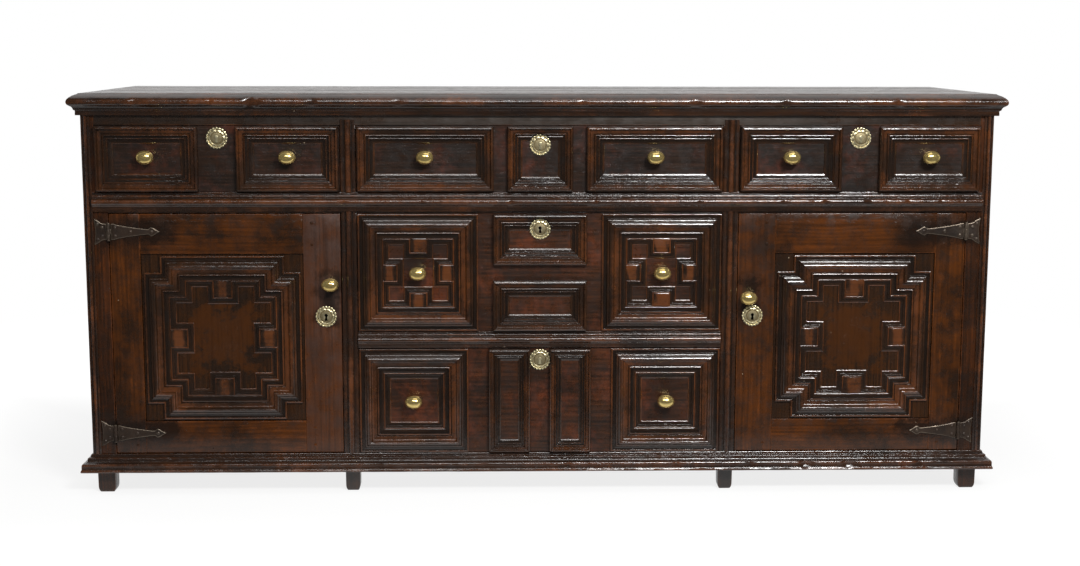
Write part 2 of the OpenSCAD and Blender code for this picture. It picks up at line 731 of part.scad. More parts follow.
// A rail moulding: fillet, hollow, ridge and a flat band below
function rail_section(z0, z1, p) = let (h = z1 - z0) [
    [0, z0], [0.45*p, z0], [0.45*p, z0 + 0.3*h], [0.62*p, z0 + 0.34*h], [0.94*p, z0 + 0.42*h],
    [p, z0 + 0.5*h], [0.94*p, z0 + 0.6*h], [0.6*p, z0 + 0.72*h], [0.5*p, z0 + 0.76*h],
    [0.5*p, z0 + 0.84*h], [0.2*p, z0 + 0.9*h], [0.2*p, z1], [0, z1]
];
module rail_mouldings() color(oak_dark) place() {
    x_mid = x_side - corner_bead_w - joint;
    run_x(-x_mid, x_mid, rail_section(z_mid + mid_mould_up, z_top_open - 1, rail_mould_p));
    run_x(joint - x_centre, x_centre - joint, rail_section(z_drawer_rail + 1, z_upper - 1, rail_mould_p - 4));
}

// An upright bead strip w wide, its outer edge at x and its foot at z0
module bead_strip(x, w, z0, z1) {
    e = w*0.1;
    translate([x, 0, z0])
        linear_extrude(z1 - z0)
            polygon(concat(
                [[0, 0], [0, -0.5*bead_p], [2*e, -0.5*bead_p], [2*e, -0.3*bead_p], [3*e, -0.3*bead_p]],
                [for (a = [180:30:360]) [5*e + 2*e*cos(a), -0.3*bead_p + 0.7*bead_p*sin(a)]],
                [[8*e, -0.3*bead_p], [8*e, -0.5*bead_p], [w, -0.5*bead_p], [w, 0]]));
}
// Upright bead strips on the corner posts and the inner posts
module post_beads() color(oak_dark) place()
    both_sides() {
        x_inner = x_post_mid - inner_bead_w/2;
        bead_strip(x_side - corner_bead_w, corner_bead_w, z_lower + joint, z_top - cornice_h - joint);
        bead_strip(x_inner, inner_bead_w, z_lower + joint, z_mid + mid_mould_up - joint);
        bead_strip(x_inner, inner_bead_w, z_top_open, z_top_rail + bead_rise);
    }

// Rails and uprights of the two end frames and rails of the back frame
module end_and_back_rails() color(oak) place() {
    both_sides()
        difference() {
            union() {
                for (r = end_rails)
                    board([x_upper, post_d + joint, r[0]], [x_side, y_back_post - joint, r[1]]);
                end_rail_tenons(post_d, -1, end_tenon_l);
                end_rail_tenons(y_back_post, 1, tenon_l);
            }
            end_muntin_stubs(fit);
            end_panel_edges(fit);
            end_peg_set(cut);
        }
    both_sides() {
        difference() {
            for (p = end_panel_zs)
                board([x_upper, end_mid_y - end_muntin_w/2, p[0] + joint],
                    [x_side, end_mid_y + end_muntin_w/2, p[1] - joint]);
            end_panel_edges(fit);
        }
        end_muntin_stubs();
        back_rail_tenons();
    }
    for (r = end_rails)
        board([joint - x_door, y_back_rail, r[0]], [x_door - joint, y_boards, r[1]]);
}

// Fielded panels of the end frames
module end_panels() color(oak) place()
    both_sides() {
        end_panel_edges();
        for (p = end_panel_zs, s = [0, 1])
            board([x_side - frame_t/2, (s == 0 ? post_d : end_mid_y + end_muntin_w/2) + field_gap,
                    p[0] + field_gap],
                [x_side - panel_back, (s == 0 ? end_mid_y - end_muntin_w/2 : y_back_post) - field_gap,
                    p[1] - field_gap]);
    }

// Upright boards nailed to the back rails
module back_boards() color(oak_inside) place() {
    w = 2*(x_door - fit)/back_boards_n;
    for (i = [0:back_boards_n - 1])
        board([i*w - x_door + fit + (i > 0 ? board_gap : 0), y_boards, z_bottom],
            [(i + 1)*w - x_door + fit, carcass_d, z_boards]);
}

// Floor boards of the cupboards; their front edge stops the door
module floor_boards() color(oak_inside) place()
    both_sides() {
        w = (x_upper - x_post)/floor_boards_n;
        difference() {
            for (i = [0:floor_boards_n - 1])
                board([x_post + i*w + (i > 0 ? board_gap : 0), door_t + stop_gap, z_lower],
                    [x_post + (i + 1)*w, y_boards, z_lower + floor_t]);
            board([x_door - fit, 0, z_bottom], [x_side, post_d + fit, z_mid]);
            board([x_door - fit, y_back_post - fit, z_bottom], [x_side, carcass_d, z_mid]);
        }
    }

// Upright boards between the cupboards and the deep drawers, two to each side
module partitions() color(oak_inside) place()
    both_sides() {
        h = (z_mid - z_lower)/2;
        for (i = [0, 1])
            board([x_post - partition_t, post_d, z_lower + i*h + i*board_gap],
                [x_post, y_back_rail, z_lower + (i + 1)*h]);
    }

// Rails from front to back that carry and cap the partitions
module cross_rails() color(oak_inside) place()
    both_sides() {
        board([x_centre, post_d, z_bottom], [x_post, y_back_rail, z_lower]);
        board([x_centre, rail_d, z_mid], [x_post, y_back_rail, z_top_open]);
    }

// Height of a runner's underside for an opening between z0 and z1
function runner_z(z0, z1) = (z0 + z1 - runner_h)/2;
// Runners on which the grooved drawer sides hang
module drawer_runners() color(oak_inside) place() {
    reach = drawer_gap + groove_d - runner_gap;
    top_z = runner_z(z_top_open, z_top_rail);
    both_sides() {
        board([x_centre, post_d, top_z - bearer_extra], [x_post, y_boards, top_z + runner_h + bearer_extra]);
        board([x_centre - reach, post_d, top_z], [x_post + reach, y_boards, top_z + runner_h]);
        board([x_upper - reach, runner_start, top_z], [x_upper, y_back_post, top_z + runner_h]);
        for (o = [[z_lower, z_drawer_rail], [z_upper, z_mid]])
            board([x_centre - reach, post_d, runner_z(o[0], o[1])],
                [x_post - partition_t, y_back_rail, runner_z(o[0], o[1]) + runner_h]);
    }
}

// Pegs of the end frames' joints
module frame_pegs() color(oak_dark) place()
    both_sides() end_peg_set();

// Moves hinge parts to their place on the right: x runs from the pin towards the post
module hinge_place(z) translate([hinge_x, 0, z]) children();
// Nails drawn from the carcass face: a head on the iron and a shank into the wood.
// With c > 0 they are the holes for the shanks.
module nail_set(points, c = 0)
    for (p = points)
        translate([p[0], 0, p[1]]) rotate([90, 0, 0]) {
            translate([0, 0, -nail_l])
                cylinder(h = nail_l + iron_t + (c > 0 ? c : joint), d = nail_dia + (c > 0 ? 2*pin_gap : 0));
            if (c == 0)
                translate([0, 0, iron_t + joint])
                    rotate_extrude()
                        polygon([[0, 0], [nail_head/2, 0], [nail_head*0.42, 0.9], [nail_head*0.25, 1.6], [0, 1.9]]);
        }
// A flat iron leaf on the carcass face
module leaf(points)
    rotate([90, 0, 0]) linear_extrude(iron_t) polygon(points);
// A barrel of the knuckle between heights z0 and z1, its web reaching over to the leaf on the side dir
module barrel(z0, z1, dir) {
    translate([0, hinge_y, z0]) cylinder(h = z1 - z0, d = knuckle_dia);
    translate([dir > 0 ? 0 : -knuckle_dia/2 - 1, hinge_y + knuckle_dia/2 - iron_t, z0])
        cube([knuckle_dia/2 + 1, -hinge_y - knuckle_dia/2 + iron_t, z1 - z0]);
}
// Heights at which the knuckle changes hands
knuckle_cut = knuckle_h/6;
leaf_gap = 0.3;
// Outline of a butterfly plate, right of the pin
plate_points = let (n = knuckle_h/2, e = plate_h/2, x0 = knuckle_dia/2 + 0.5) concat(
    [[x0, -n], [x0 + 3, -n]], arc([x0 + 3, -e - 6], e - n + 6, 90, 40, 4),
    [[plate_l, -e], [plate_l - 3, 0], [plate_l, e]],
    arc([x0 + 3, e + 6], e - n + 6, -40, -90, 4), [[x0, n]]);
// Outline of a strap and its finial, left of the pin
strap_points = let (n = knuckle_h/2, x0 = -knuckle_dia/2 - 0.5, f = -strap_l, t = -strap_l - finial_l) [
    [x0, n], [x0 - 6, n], [f*0.3, n*0.62], [f*0.6, n*0.4], [f + 4, n*0.2], [f + 1, n*0.22],
    [f - 3, n*0.62], [f - finial_l*0.55, n*0.3], [t, 0], [f - finial_l*0.55, -n*0.3],
    [f - 3, -n*0.62], [f + 1, -n*0.22], [f + 4, -n*0.2], [f*0.6, -n*0.4], [f*0.3, -n*0.62],
    [x0 - 6, -n], [x0, -n]
];
plate_nails = [[14, -9], [14, 9], [plate_l - 7, -17], [plate_l - 7, 17]];
strap_nails = [[-13, -9], [-13, 9], [-46, 0], [-strap_l + 10, 0]];

// Fixed butterfly plates, hinge pins and nails on the corner posts
module hinge_plates() color(iron) place()
    both_sides()
        for (z = hinge_zs)
            hinge_place(z) {
                difference() {
                    union() {
                        leaf(plate_points);
                        for (s = [-1, 1])
                            barrel(s > 0 ? knuckle_cut : -knuckle_h/2, s > 0 ? knuckle_h/2 : -knuckle_cut, 1);
                    }
                    pin_bore();
                    nail_set(plate_nails, cut);
                    translate([-knuckle_dia, hinge_y - knuckle_dia, -knuckle_cut])
                        cube([1.5*knuckle_dia + leaf_gap, 2*knuckle_dia, 2*knuckle_cut]);
                }
                hinge_pin();
                nail_set(plate_nails);
            }
module pin_bore()
    translate([0, hinge_y, -knuckle_h/2 - cut]) cylinder(h = knuckle_h + 2*cut, d = pin_dia + 2*pin_gap);
module hinge_pin()
    translate([0, hinge_y, -knuckle_h/2]) {
        translate([0, 0, -joint]) cylinder(h = knuckle_h + 2*joint, d = pin_dia);
        translate([0, 0, -joint - 2]) cylinder(h = 2, d = pin_dia + 2);
        translate([0, 0, knuckle_h + joint]) cylinder(h = 2, d = pin_dia + 2);
    }
// Strap leaves and their nails on a door
module strap_set()
    for (z = hinge_zs)
        hinge_place(z) {
            difference() {
                union() {
                    leaf(strap_points);
                    barrel(leaf_gap - knuckle_cut, knuckle_cut - leaf_gap, -1);
                }
                pin_bore();
                nail_set(strap_nails, cut);
                for (s = [-1, 1])
                    translate([-knuckle_dia/2 - leaf_gap, hinge_y - knuckle_dia, s > 0 ? knuckle_cut - leaf_gap : -knuckle_h])
                        cube([1.5*knuckle_dia, 2*knuckle_dia, knuckle_h - knuckle_cut + leaf_gap]);
            }
            nail_set(strap_nails);
        }

// A brass knob on the face, with its rose, neck and stem; deep is the wood it passes
module knob(deep) {
    translate([0, -knob_reach + knob_t/2, 0])
        rotate([0, 90, 0])
            rotate_extrude()
                polygon([for (i = [0:12]) [knob_t/2*sin(15*i), knob_l/2*cos(15*i)*(1 + 0.06*cos(15*i))]]);
    rotate([90, 0, 0]) {
        cylinder(h = 2, d = knob_neck + 7);
        cylinder(h = knob_reach - knob_t/2, d = knob_neck);
        translate([0, 0, -deep - 6]) cylinder(h = deep + 7, d = stem_dia);
    }
    difference() {
        translate([-nut_w/2, deep, -nut_w/2]) cube([nut_w, 4, nut_w]);
        knob_bore(deep);
    }
}
module knob_bore(deep)
    rotate([90, 0, 0]) translate([0, 0, -deep - 8]) cylinder(h = deep + 8 + cut, d = stem_dia + 2*pin_gap);

// A round brass escutcheon with a raised rim and rings; only a pierced one has a keyhole
module escutcheon(pierced) {
    r = escutcheon_dia/2;
    t = escutcheon_t;
    difference() {
        rotate([90, 0, 0])
            rotate_extrude($fn = 64)
                polygon([[0, 0], [r, 0], [r, 0.4*t], [0.95*r, 0.9*t], [0.86*r, t], [0.77*r, 0.8*t],
                    [0.74*r, 0.4*t], [0.66*r, 0.4*t], [0.63*r, 0.75*t], [0.58*r, 0.75*t], [0.54*r, 0.45*t],
                    [0.46*r, 0.6*t], [0.3*r, 0.85*t], [0, t]]);
        if (pierced) keyhole();
    }
}
// A keyhole cut through everything near the face: a round end with a slot below it
module keyhole() {
    rotate([90, 0, 0]) translate([0, 0, -door_t - 3]) cylinder(h = door_t + 3 + 2*escutcheon_t, d = keyhole_dia);
    translate([-keyhole_dia*0.22, -2*escutcheon_t, keyhole_dia/2 - keyhole_l])
        cube([keyhole_dia*0.44, door_t + 3 + 2*escutcheon_t, keyhole_l - keyhole_dia/2]);
}

// A lock on the back of a board: origin on the keyhole's axis at the wood, +Y into the lock,
// +Z to the edge that the bolt leaves
module lock_case() {
    top = key_to_edge - lock_set;
    case_w = lock_w - 2*lock_ear;
    difference() {
        union() {
            board([-lock_w/2, 0, -lock_below], [lock_w/2, lock_wall, top]);
            board([-case_w/2, 0, lock_foot - lock_below], [case_w/2, lock_t, top]);
        }
        board([lock_wall - case_w/2, lock_wall, lock_foot + lock_wall - lock_below],
            [case_w/2 - lock_wall, lock_t - lock_wall, top - lock_wall]);
        bolt_shape(bolt_gap, cut);
        lock_screws(cut);
    }
    rotate([-90, 0, 0])
        translate([0, 0, 2*lock_wall])
            cylinder(h = lock_t - 2.5*lock_wall, d = spindle_dia);
    lock_screws();
}
// The bolt at rest, flush with the lock's edge; c grows it and up lengthens it
module bolt_shape(c = 0, up = 0) {
    top = key_to_edge - lock_set;
    y0 = (lock_t - bolt_t)/2;
    board([-bolt_w/2 - c, y0 - c, top - bolt_l - c], [bolt_w/2 + c, y0 + bolt_t + c, top + up]);
}
module lock_screws(c = 0)
    for (s = [-1, 1], e = [0, 1]) {
        top = key_to_edge - lock_set;
        translate([s*(lock_w/2 - lock_screw_in), lock_wall + joint,
                e == 0 ? lock_screw_in - lock_below : top - lock_screw_in])
            rotate([90, 0, 0]) {
                translate([0, 0, -c]) cylinder(h = screw_l + lock_wall + c, d = screw_dia + (c > 0 ? 2*pin_gap : 0));
                if (c == 0)
                    rotate([180, 0, 0]) cylinder(h = screw_dia/2, d = 2*screw_dia);
            }
    }
module lock_bolt()
    difference() {
        bolt_shape();
        rotate([-90, 0, 0]) translate([0, 0, -cut]) cylinder(h = lock_t + 2*cut, r = key_to_edge - lock_set - bolt_l + 3);
    }

// The upper deep drawer's lock lies behind its front, its keyhole this high
upper_key_z = z_mid - drawer_gap - key_to_edge;
module drawer_lock_place() translate([0, drawer_front_t, upper_key_z]) children();
// Room in the middle rail for the drawer's bolt when it is shot
module drawer_bolt_room() drawer_lock_place() bolt_shape(bolt_gap, bolt_throw + 1.5);
// The door's lock lies on the back of its lock stile, its bolt towards the inner post
module door_lock_place()
    translate([door_key_x, door_t, door_key_z]) rotate([0, -90, 0]) children();
module door_bolt_room() door_lock_place() bolt_shape(bolt_gap, bolt_throw + 1.5);

// Parts of a drawer, for an opening [x0, x1, z0, z1]
open_top_left = [-x_upper, -x_post, z_top_open, z_top_rail];
open_top_centre = [-x_centre, x_centre, z_top_open, z_top_rail];
open_top_right = [x_post, x_upper, z_top_open, z_top_rail];
open_upper = [-x_centre, x_centre, z_upper, z_mid];
open_lower = [-x_centre, x_centre, z_lower, z_drawer_rail];
function mid_x(o) = (o[0] + o[1])/2;
function mid_z(o) = (o[2] + o[3])/2;
function open_w(o) = o[1] - o[0];
function open_h(o) = o[3] - o[2];
// Height of the moulded panels on a drawer
function panel_h(o) = open_h(o) - 2*mould_edge;

// Dovetails of a drawer's side at the side's front end, c grows them for the sockets
module dovetails(x0, z0, z1, c = 0) {
    pitch = (z1 - z0)/dovetails_n;
    translate([x0 - (c > 0 ? c : 0), 0, 0])
        rotate([90, 0, 90])
            linear_extrude(drawer_side_t + (c > 0 ? 2*c : 0))
                for (i = [0:dovetails_n - 1]) {
                    z = z0 + (i + 0.5)*pitch;
                    polygon([[lap_t - c, z - 0.36*pitch - c], [drawer_front_t + 0.01, z - 0.24*pitch - c],
                        [drawer_front_t + 0.01, z + 0.24*pitch + c], [lap_t - c, z + 0.36*pitch + c]]);
                }
}
// The bottom of a drawer, in grooves of the front and the sides
module drawer_bottom(o, c = 0) {
    x0 = o[0] + drawer_gap + drawer_side_t - bottom_groove;
    x1 = o[1] - drawer_gap - drawer_side_t + bottom_groove;
    z0 = o[2] + drawer_gap + bottom_up;
    n = max(1, round((x1 - x0)/260));
    w = (x1 - x0)/n;
    if (c > 0)
        board([x0 - c, drawer_front_t - bottom_groove - c, z0 - c],
            [x1 + c, drawer_d + cut, z0 + drawer_bottom_t + c]);
    else
        for (i = [0:n - 1])
            board([x0 + i*w + (i > 0 ? board_gap : 0), drawer_front_t - bottom_groove, z0],
                [x0 + (i + 1)*w, drawer_d, z0 + drawer_bottom_t]);
}
module drawer_front(o, knobs, lock = false, keyholes = []) color(oak) place()
    difference() {
        board([o[0] + drawer_gap, 0, o[2] + drawer_gap], [o[1] - drawer_gap, drawer_front_t, o[3] - drawer_gap]);
        for (x = [o[0] + drawer_gap, o[1] - drawer_gap - drawer_side_t])
            dovetails(x, o[2] + drawer_gap, o[3] - drawer_gap - drawer_side_drop, fit/2);
        drawer_bottom(o, fit);
        for (k = knobs)
            translate([k[0], 0, k[1]]) knob_bore(drawer_front_t);
        for (k = keyholes)
            translate([k[0], 0, k[1]]) keyhole();
        if (lock) drawer_lock_place() lock_screws(cut);
    }
module drawer_box(o) color(oak_inside) place() {
    x0 = o[0] + drawer_gap;
    x1 = o[1] - drawer_gap;
    z0 = o[2] + drawer_gap;
    z1 = o[3] - drawer_gap - drawer_side_drop;
    rz = runner_z(o[2], o[3]);
    difference() {
        for (s = [0, 1]) {
            x = s == 0 ? x0 : x1 - drawer_side_t;
            board([x, drawer_front_t, z0], [x + drawer_side_t, drawer_d, z1]);
            dovetails(x, z0, z1);
        }
        for (x = [x0 - cut, x1 - groove_d])
            board([x, drawer_front_t, rz - runner_gap], [x + groove_d + cut, drawer_d + cut, rz + runner_h + runner_gap]);
        drawer_bottom(o, fit);
    }
    drawer_bottom(o);
    board([x0 + drawer_side_t + joint, drawer_d - drawer_side_t, z0 + bottom_up + drawer_bottom_t + joint],
        [x1 - drawer_side_t - joint, drawer_d, z1]);
}
module drawer_knobs(knobs) color(brass) place()
    for (k = knobs)
        translate([k[0], 0, k[1]]) knob(drawer_front_t);

// Knobs as [x, z]
side_knob_x = open_w(open_top_right)/2 - mould_edge - side_panel_w/2;
function side_knobs(o) = [for (s = [-1, 1]) [mid_x(o) + s*side_knob_x, top_knob_z]];
centre_knob_x = x_centre - mould_edge - centre_panel_w/2;
centre_knobs = [for (s = [-1, 1]) [s*centre_knob_x, top_knob_z]];
block_panel_x = x_centre - mould_edge - block_panel_w/2;
upper_knobs = [for (s = [-1, 1]) [s*block_panel_x, mid_z(open_upper)]];
square_panel_x = x_centre - mould_edge - square_panel_w/2;
lower_knobs = [for (s = [-1, 1]) [s*square_panel_x, mid_z(open_lower)]];

module side_drawer_mouldings(o) color(oak_dark) place()
    for (s = [-1, 1])
        small_panel(mid_x(o) + s*side_knob_x, mid_z(o), side_panel_w, panel_h(o), small_mould_w);

module top_left_drawer_front() drawer_front(open_top_left, side_knobs(open_top_left));
module top_left_drawer_mouldings() side_drawer_mouldings(open_top_left);
module top_left_drawer_box() drawer_box(open_top_left);
module top_left_drawer_knobs() drawer_knobs(side_knobs(open_top_left));
module top_left_drawer_escutcheon() color(brass) place()
    translate([mid_x(open_top_left), 0, top_key_z]) escutcheon(false);

module top_centre_drawer_front() drawer_front(open_top_centre, centre_knobs);
module top_centre_drawer_mouldings() color(oak_dark) place() {
    for (s = [-1, 1])
        small_panel(s*centre_knob_x, mid_z(open_top_centre), centre_panel_w, panel_h(open_top_centre),
            small_mould_w);
    difference() {
        small_panel(0, mid_z(open_top_centre), keyhole_panel_w, panel_h(open_top_centre), keyhole_mould_w);
        translate([0, 0, centre_key_z]) escutcheon_seat();
    }
}
// Flat seat cut in a moulding for an escutcheon that lies over it
module escutcheon_seat()
    rotate([90, 0, 0])
        translate([0, 0, -cut]) cylinder(h = small_mould_p + 2*cut, d = escutcheon_dia + 1);
module top_centre_drawer_box() drawer_box(open_top_centre);
module top_centre_drawer_knobs() drawer_knobs(centre_knobs);
module top_centre_drawer_escutcheon() color(brass) place()
    translate([0, 0, centre_key_z]) escutcheon(false);

module top_right_drawer_front() drawer_front(open_top_right, side_knobs(open_top_right));
module top_right_drawer_mouldings() side_drawer_mouldings(open_top_right);
module top_right_drawer_box() drawer_box(open_top_right);
module top_right_drawer_knobs() drawer_knobs(side_knobs(open_top_right));
module top_right_drawer_escutcheon() color(brass) place()
    translate([mid_x(open_top_right), 0, top_key_z]) escutcheon(false);

module upper_deep_drawer_front()
    drawer_front(open_upper, upper_knobs, lock = true, keyholes = [[0, upper_key_z]]);
module upper_deep_drawer_mouldings() color(oak_dark) place() {
    o = open_upper;
    h = panel_h(o);
    small_h = (h - stack_strip)/2;
    for (s = [-1, 1]) {
        big_panel(s*block_panel_x, mid_z(o), block_panel_w, h);
        translate([s*block_panel_x, 0, mid_z(o)]) stand()
            block_work(block_panel_w - 2*big_mould_w, h - 2*big_mould_w, 0, drawer_block_w, drawer_block_d);
    }
    difference() {
        for (s = [-1, 1])
            small_panel(0, mid_z(o) + s*(h - small_h)/2, stack_panel_w, small_h, stack_mould_w);
        translate([0, 0, upper_key_z]) escutcheon_seat();
    }
}
module upper_deep_drawer_box() drawer_box(open_upper);
module upper_deep_drawer_knobs() drawer_knobs(upper_knobs);
module upper_deep_drawer_escutcheon() color(brass) place()
    translate([0, 0, upper_key_z]) escutcheon(true);
module upper_deep_drawer_lock() color(iron) place()
    difference() {
        drawer_lock_place() lock_case();
        translate([0, 0, upper_key_z]) keyhole();
    }
module upper_deep_drawer_lock_bolt() color(iron) place()
    drawer_lock_place() lock_bolt();

module lower_deep_drawer_front() drawer_front(open_lower, lower_knobs);
module lower_deep_drawer_mouldings() color(oak_dark) place() {
    o = open_lower;
    h = panel_h(o);
    for (s = [-1, 1]) {
        big_panel(s*square_panel_x, mid_z(o), square_panel_w, h);
        translate([s*square_panel_x, 0, mid_z(o)]) stand()
            mitred_run(rect_outline(square_panel_w - 2*(big_mould_w + joint), h - 2*(big_mould_w + joint)),
                inner_mould_w, inner_section(inner_mould_w, inner_mould_p));
    }
    difference() {
        for (s = [-1, 1])
            small_panel(s*(tall_panel_w + tall_strip)/2, mid_z(o), tall_panel_w, h, tall_mould_w);
        translate([0, 0, lower_key_z]) escutcheon_seat();
    }
}
module lower_deep_drawer_box() drawer_box(open_lower);
module lower_deep_drawer_knobs() drawer_knobs(lower_knobs);
module lower_deep_drawer_escutcheon() color(brass) place()
    translate([0, 0, lower_key_z]) escutcheon(false);

// Parts of a door, drawn on the right
door_hole = [door_x0 + lock_stile_w, door_x1 - hinge_stile_w, door_z0 + door_bottom_h, door_z1 - door_top_h];
panel_y = (door_t - panel_edge_t)/2;
// The panel's edge in the frame's grooves, c grows it for the groove
module door_panel_edge(c = 0)
    board([door_hole[0] - panel_groove + 1 - 2*c, panel_y - c, door_hole[2] - panel_groove + 1 - 2*c],
        [door_hole[1] + panel_groove - 1 + 2*c, panel_y + panel_edge_t + c, door_hole[3] + panel_groove - 1 + 2*c]);
module door_tenons(c = 0)
    for (r = [[door_z0, door_hole[2]], [door_hole[3], door_z1]])
        board([door_hole[0] - door_tenon_l - 2*c, panel_y - c, r[0] + 2*tenon_sh - c],
            [door_hole[1] + door_tenon_l + 2*c, panel_y + panel_edge_t + c, r[1] - 2*tenon_sh + c]);
// Pegs through the corners of a door frame, or with c > 0 the holes for them
module door_pegs(c = 0)
    for (x = [door_hole[0] - door_tenon_l/2, door_hole[1] + door_tenon_l/2],
        r = [[door_z0, door_hole[2]], [door_hole[3], door_z1]], s = [-1, 1])
        translate([x, -c, (r[0] + r[1])/2 + s*(r[1] - r[0])*0.27])
            rotate([-90, 0, 0]) cylinder(h = door_t + 2*c, d = door_peg_dia + (c > 0 ? 2*pin_gap : 0));
module door_cuts(knob_z) {
    door_panel_edge(fit);
    door_pegs(cut);
    for (z = hinge_zs) hinge_place(z) nail_set(strap_nails, cut);
    translate([door_key_x, 0, door_key_z]) keyhole();
    translate([door_knob_x, 0, knob_z]) knob_bore(door_t);
    door_lock_place() lock_screws(cut);
}
module door_frame(side, knob_z) color(oak) place() on_side(side) {
    difference() {
        union() {
            board([door_x0, 0, door_z0], [door_hole[0], door_t, door_z1]);
            board([door_hole[1], 0, door_z0], [door_x1, door_t, door_z1]);
        }
        door_tenons(fit);
        door_cuts(knob_z);
    }
    difference() {
        union() {
            board([door_hole[0] + joint, 0, door_z0], [door_hole[1] - joint, door_t, door_hole[2]]);
            board([door_hole[0] + joint, 0, door_hole[3]], [door_hole[1] - joint, door_t, door_z1]);
            door_tenons();
        }
        door_cuts(knob_z);
    }
    door_pegs();
}
module door_panel(side) color(oak) place() on_side(side) {
    door_panel_edge();
    board([door_hole[0] + field_gap, panel_back, door_hole[2] + field_gap],
        [door_hole[1] - field_gap, panel_y + panel_edge_t/2, door_hole[3] - field_gap]);
}
module door_mouldings(side) color(oak_dark) place() on_side(side)
    translate([door_cx, panel_back, door_cz]) stand() {
        mitred_run(cross_outline(cross_w, cross_h, cross_step), big_mould_w, bolection(big_mould_w, big_mould_p));
        block_work(cross_w - 2*big_mould_w, cross_h - 2*big_mould_w, cross_step, door_block_w, door_block_d);
    }
module door_knob(side, z) color(brass) place() on_side(side)
    translate([door_knob_x, 0, z]) knob(door_t);
module door_escutcheon(side) color(brass) place()
    translate([side*door_key_x, 0, door_key_z]) escutcheon(true);
module door_straps(side) color(iron) place() on_side(side) strap_set();
module door_lock(side) color(iron) place() on_side(side)
    difference() {
        door_lock_place() lock_case();
        translate([door_key_x, 0, door_key_z]) keyhole();
    }
module door_lock_bolt(side) color(iron) place() on_side(side)
    door_lock_place() lock_bolt();

module left_door_frame() door_frame(-1, left_knob_z);
module left_door_panel() door_panel(-1);
module left_door_mouldings() door_mouldings(-1);
module left_door_knob() door_knob(-1, left_knob_z);
module left_door_escutcheon() door_escutcheon(-1);
module left_door_straps() door_straps(-1);
module left_door_lock() door_lock(-1);
module left_door_lock_bolt() door_lock_bolt(-1);
module right_door_frame() door_frame(1, right_knob_z);
module right_door_panel() door_panel(1);
module right_door_mouldings() door_mouldings(1);
module right_door_knob() door_knob(1, right_knob_z);
module right_door_escutcheon() door_escutcheon(1);
module right_door_straps() door_straps(1);
module right_door_lock() door_lock(1);
module right_door_lock_bolt() door_lock_bolt(1);

top_boards();
cornice();
corner_posts();
inner_posts();
front_rails();
rail_mouldings();
post_beads();
base_moulding();
end_and_back_rails();
end_panels();
back_boards();
floor_boards();
partitions();
cross_rails();
drawer_runners();
hinge_plates();
frame_pegs();
top_left_drawer_front();
top_left_drawer_mouldings();
top_left_drawer_box();
top_left_drawer_knobs();
top_left_drawer_escutcheon();
top_centre_drawer_front();
top_centre_drawer_mouldings();
top_centre_drawer_box();
top_centre_drawer_knobs();
top_centre_drawer_escutcheon();
top_right_drawer_front();
top_right_drawer_mouldings();
top_right_drawer_box();
top_right_drawer_knobs();
top_right_drawer_escutcheon();
upper_deep_drawer_front();
upper_deep_drawer_mouldings();
upper_deep_drawer_box();
upper_deep_drawer_knobs();
upper_deep_drawer_escutcheon();
upper_deep_drawer_lock();
upper_deep_drawer_lock_bolt();
lower_deep_drawer_front();
lower_deep_drawer_mouldings();
lower_deep_drawer_box();
lower_deep_drawer_knobs();
lower_deep_drawer_escutcheon();
left_door_frame();
left_door_panel();
left_door_mouldings();
left_door_knob();
left_door_escutcheon();
left_door_straps();
left_door_lock();
left_door_lock_bolt();
right_door_frame();
right_door_panel();
right_door_mouldings();
right_door_knob();
right_door_escutcheon();
right_door_straps();
right_door_lock();
right_door_lock_bolt();
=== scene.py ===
import math
import random
from contextlib import contextmanager

import bmesh
import bpy
import numpy as np
from mathutils import Matrix, Vector


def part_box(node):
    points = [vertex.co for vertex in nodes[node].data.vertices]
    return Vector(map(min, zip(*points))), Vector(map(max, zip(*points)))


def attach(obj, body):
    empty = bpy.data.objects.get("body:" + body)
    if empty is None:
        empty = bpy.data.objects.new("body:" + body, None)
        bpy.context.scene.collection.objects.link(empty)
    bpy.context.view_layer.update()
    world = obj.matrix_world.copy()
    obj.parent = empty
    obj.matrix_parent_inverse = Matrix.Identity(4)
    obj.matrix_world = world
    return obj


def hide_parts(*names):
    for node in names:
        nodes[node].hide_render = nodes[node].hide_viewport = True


# Studio: a pale floor, one broad soft lamp high in front on the right, a weaker one on the left, a dim room.
# The camera stands where the photograph was taken, and looks along its middle.
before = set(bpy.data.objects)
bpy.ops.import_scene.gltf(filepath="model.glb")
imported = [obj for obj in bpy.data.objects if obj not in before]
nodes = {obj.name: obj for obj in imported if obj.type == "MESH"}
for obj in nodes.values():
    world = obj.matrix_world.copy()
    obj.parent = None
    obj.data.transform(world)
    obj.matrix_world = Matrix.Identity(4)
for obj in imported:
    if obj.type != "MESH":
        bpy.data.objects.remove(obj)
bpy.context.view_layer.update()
chance = random.Random(1690)
scene = bpy.context.scene
scene.view_settings.view_transform = "Standard"

image_w = 1080
focal_px = 1629.8
sensor_w = 36.0
camera_tilt = math.radians(81.514)
camera_turn = math.radians(-1.459)
camera_roll = math.radians(0.113)
camera_aim = (Matrix.Rotation(camera_turn, 3, "Z") @ Matrix.Rotation(camera_tilt, 3, "X")
              @ Matrix.Rotation(camera_roll, 3, "Z"))
camera_place = (-0.0884, -3.730, 0.9798)
bpy.ops.object.camera_add(location=camera_place, rotation=camera_aim.to_euler())
camera = bpy.context.object
camera.data.sensor_width = sensor_w
camera.data.lens = focal_px*sensor_w/image_w
scene.camera = camera


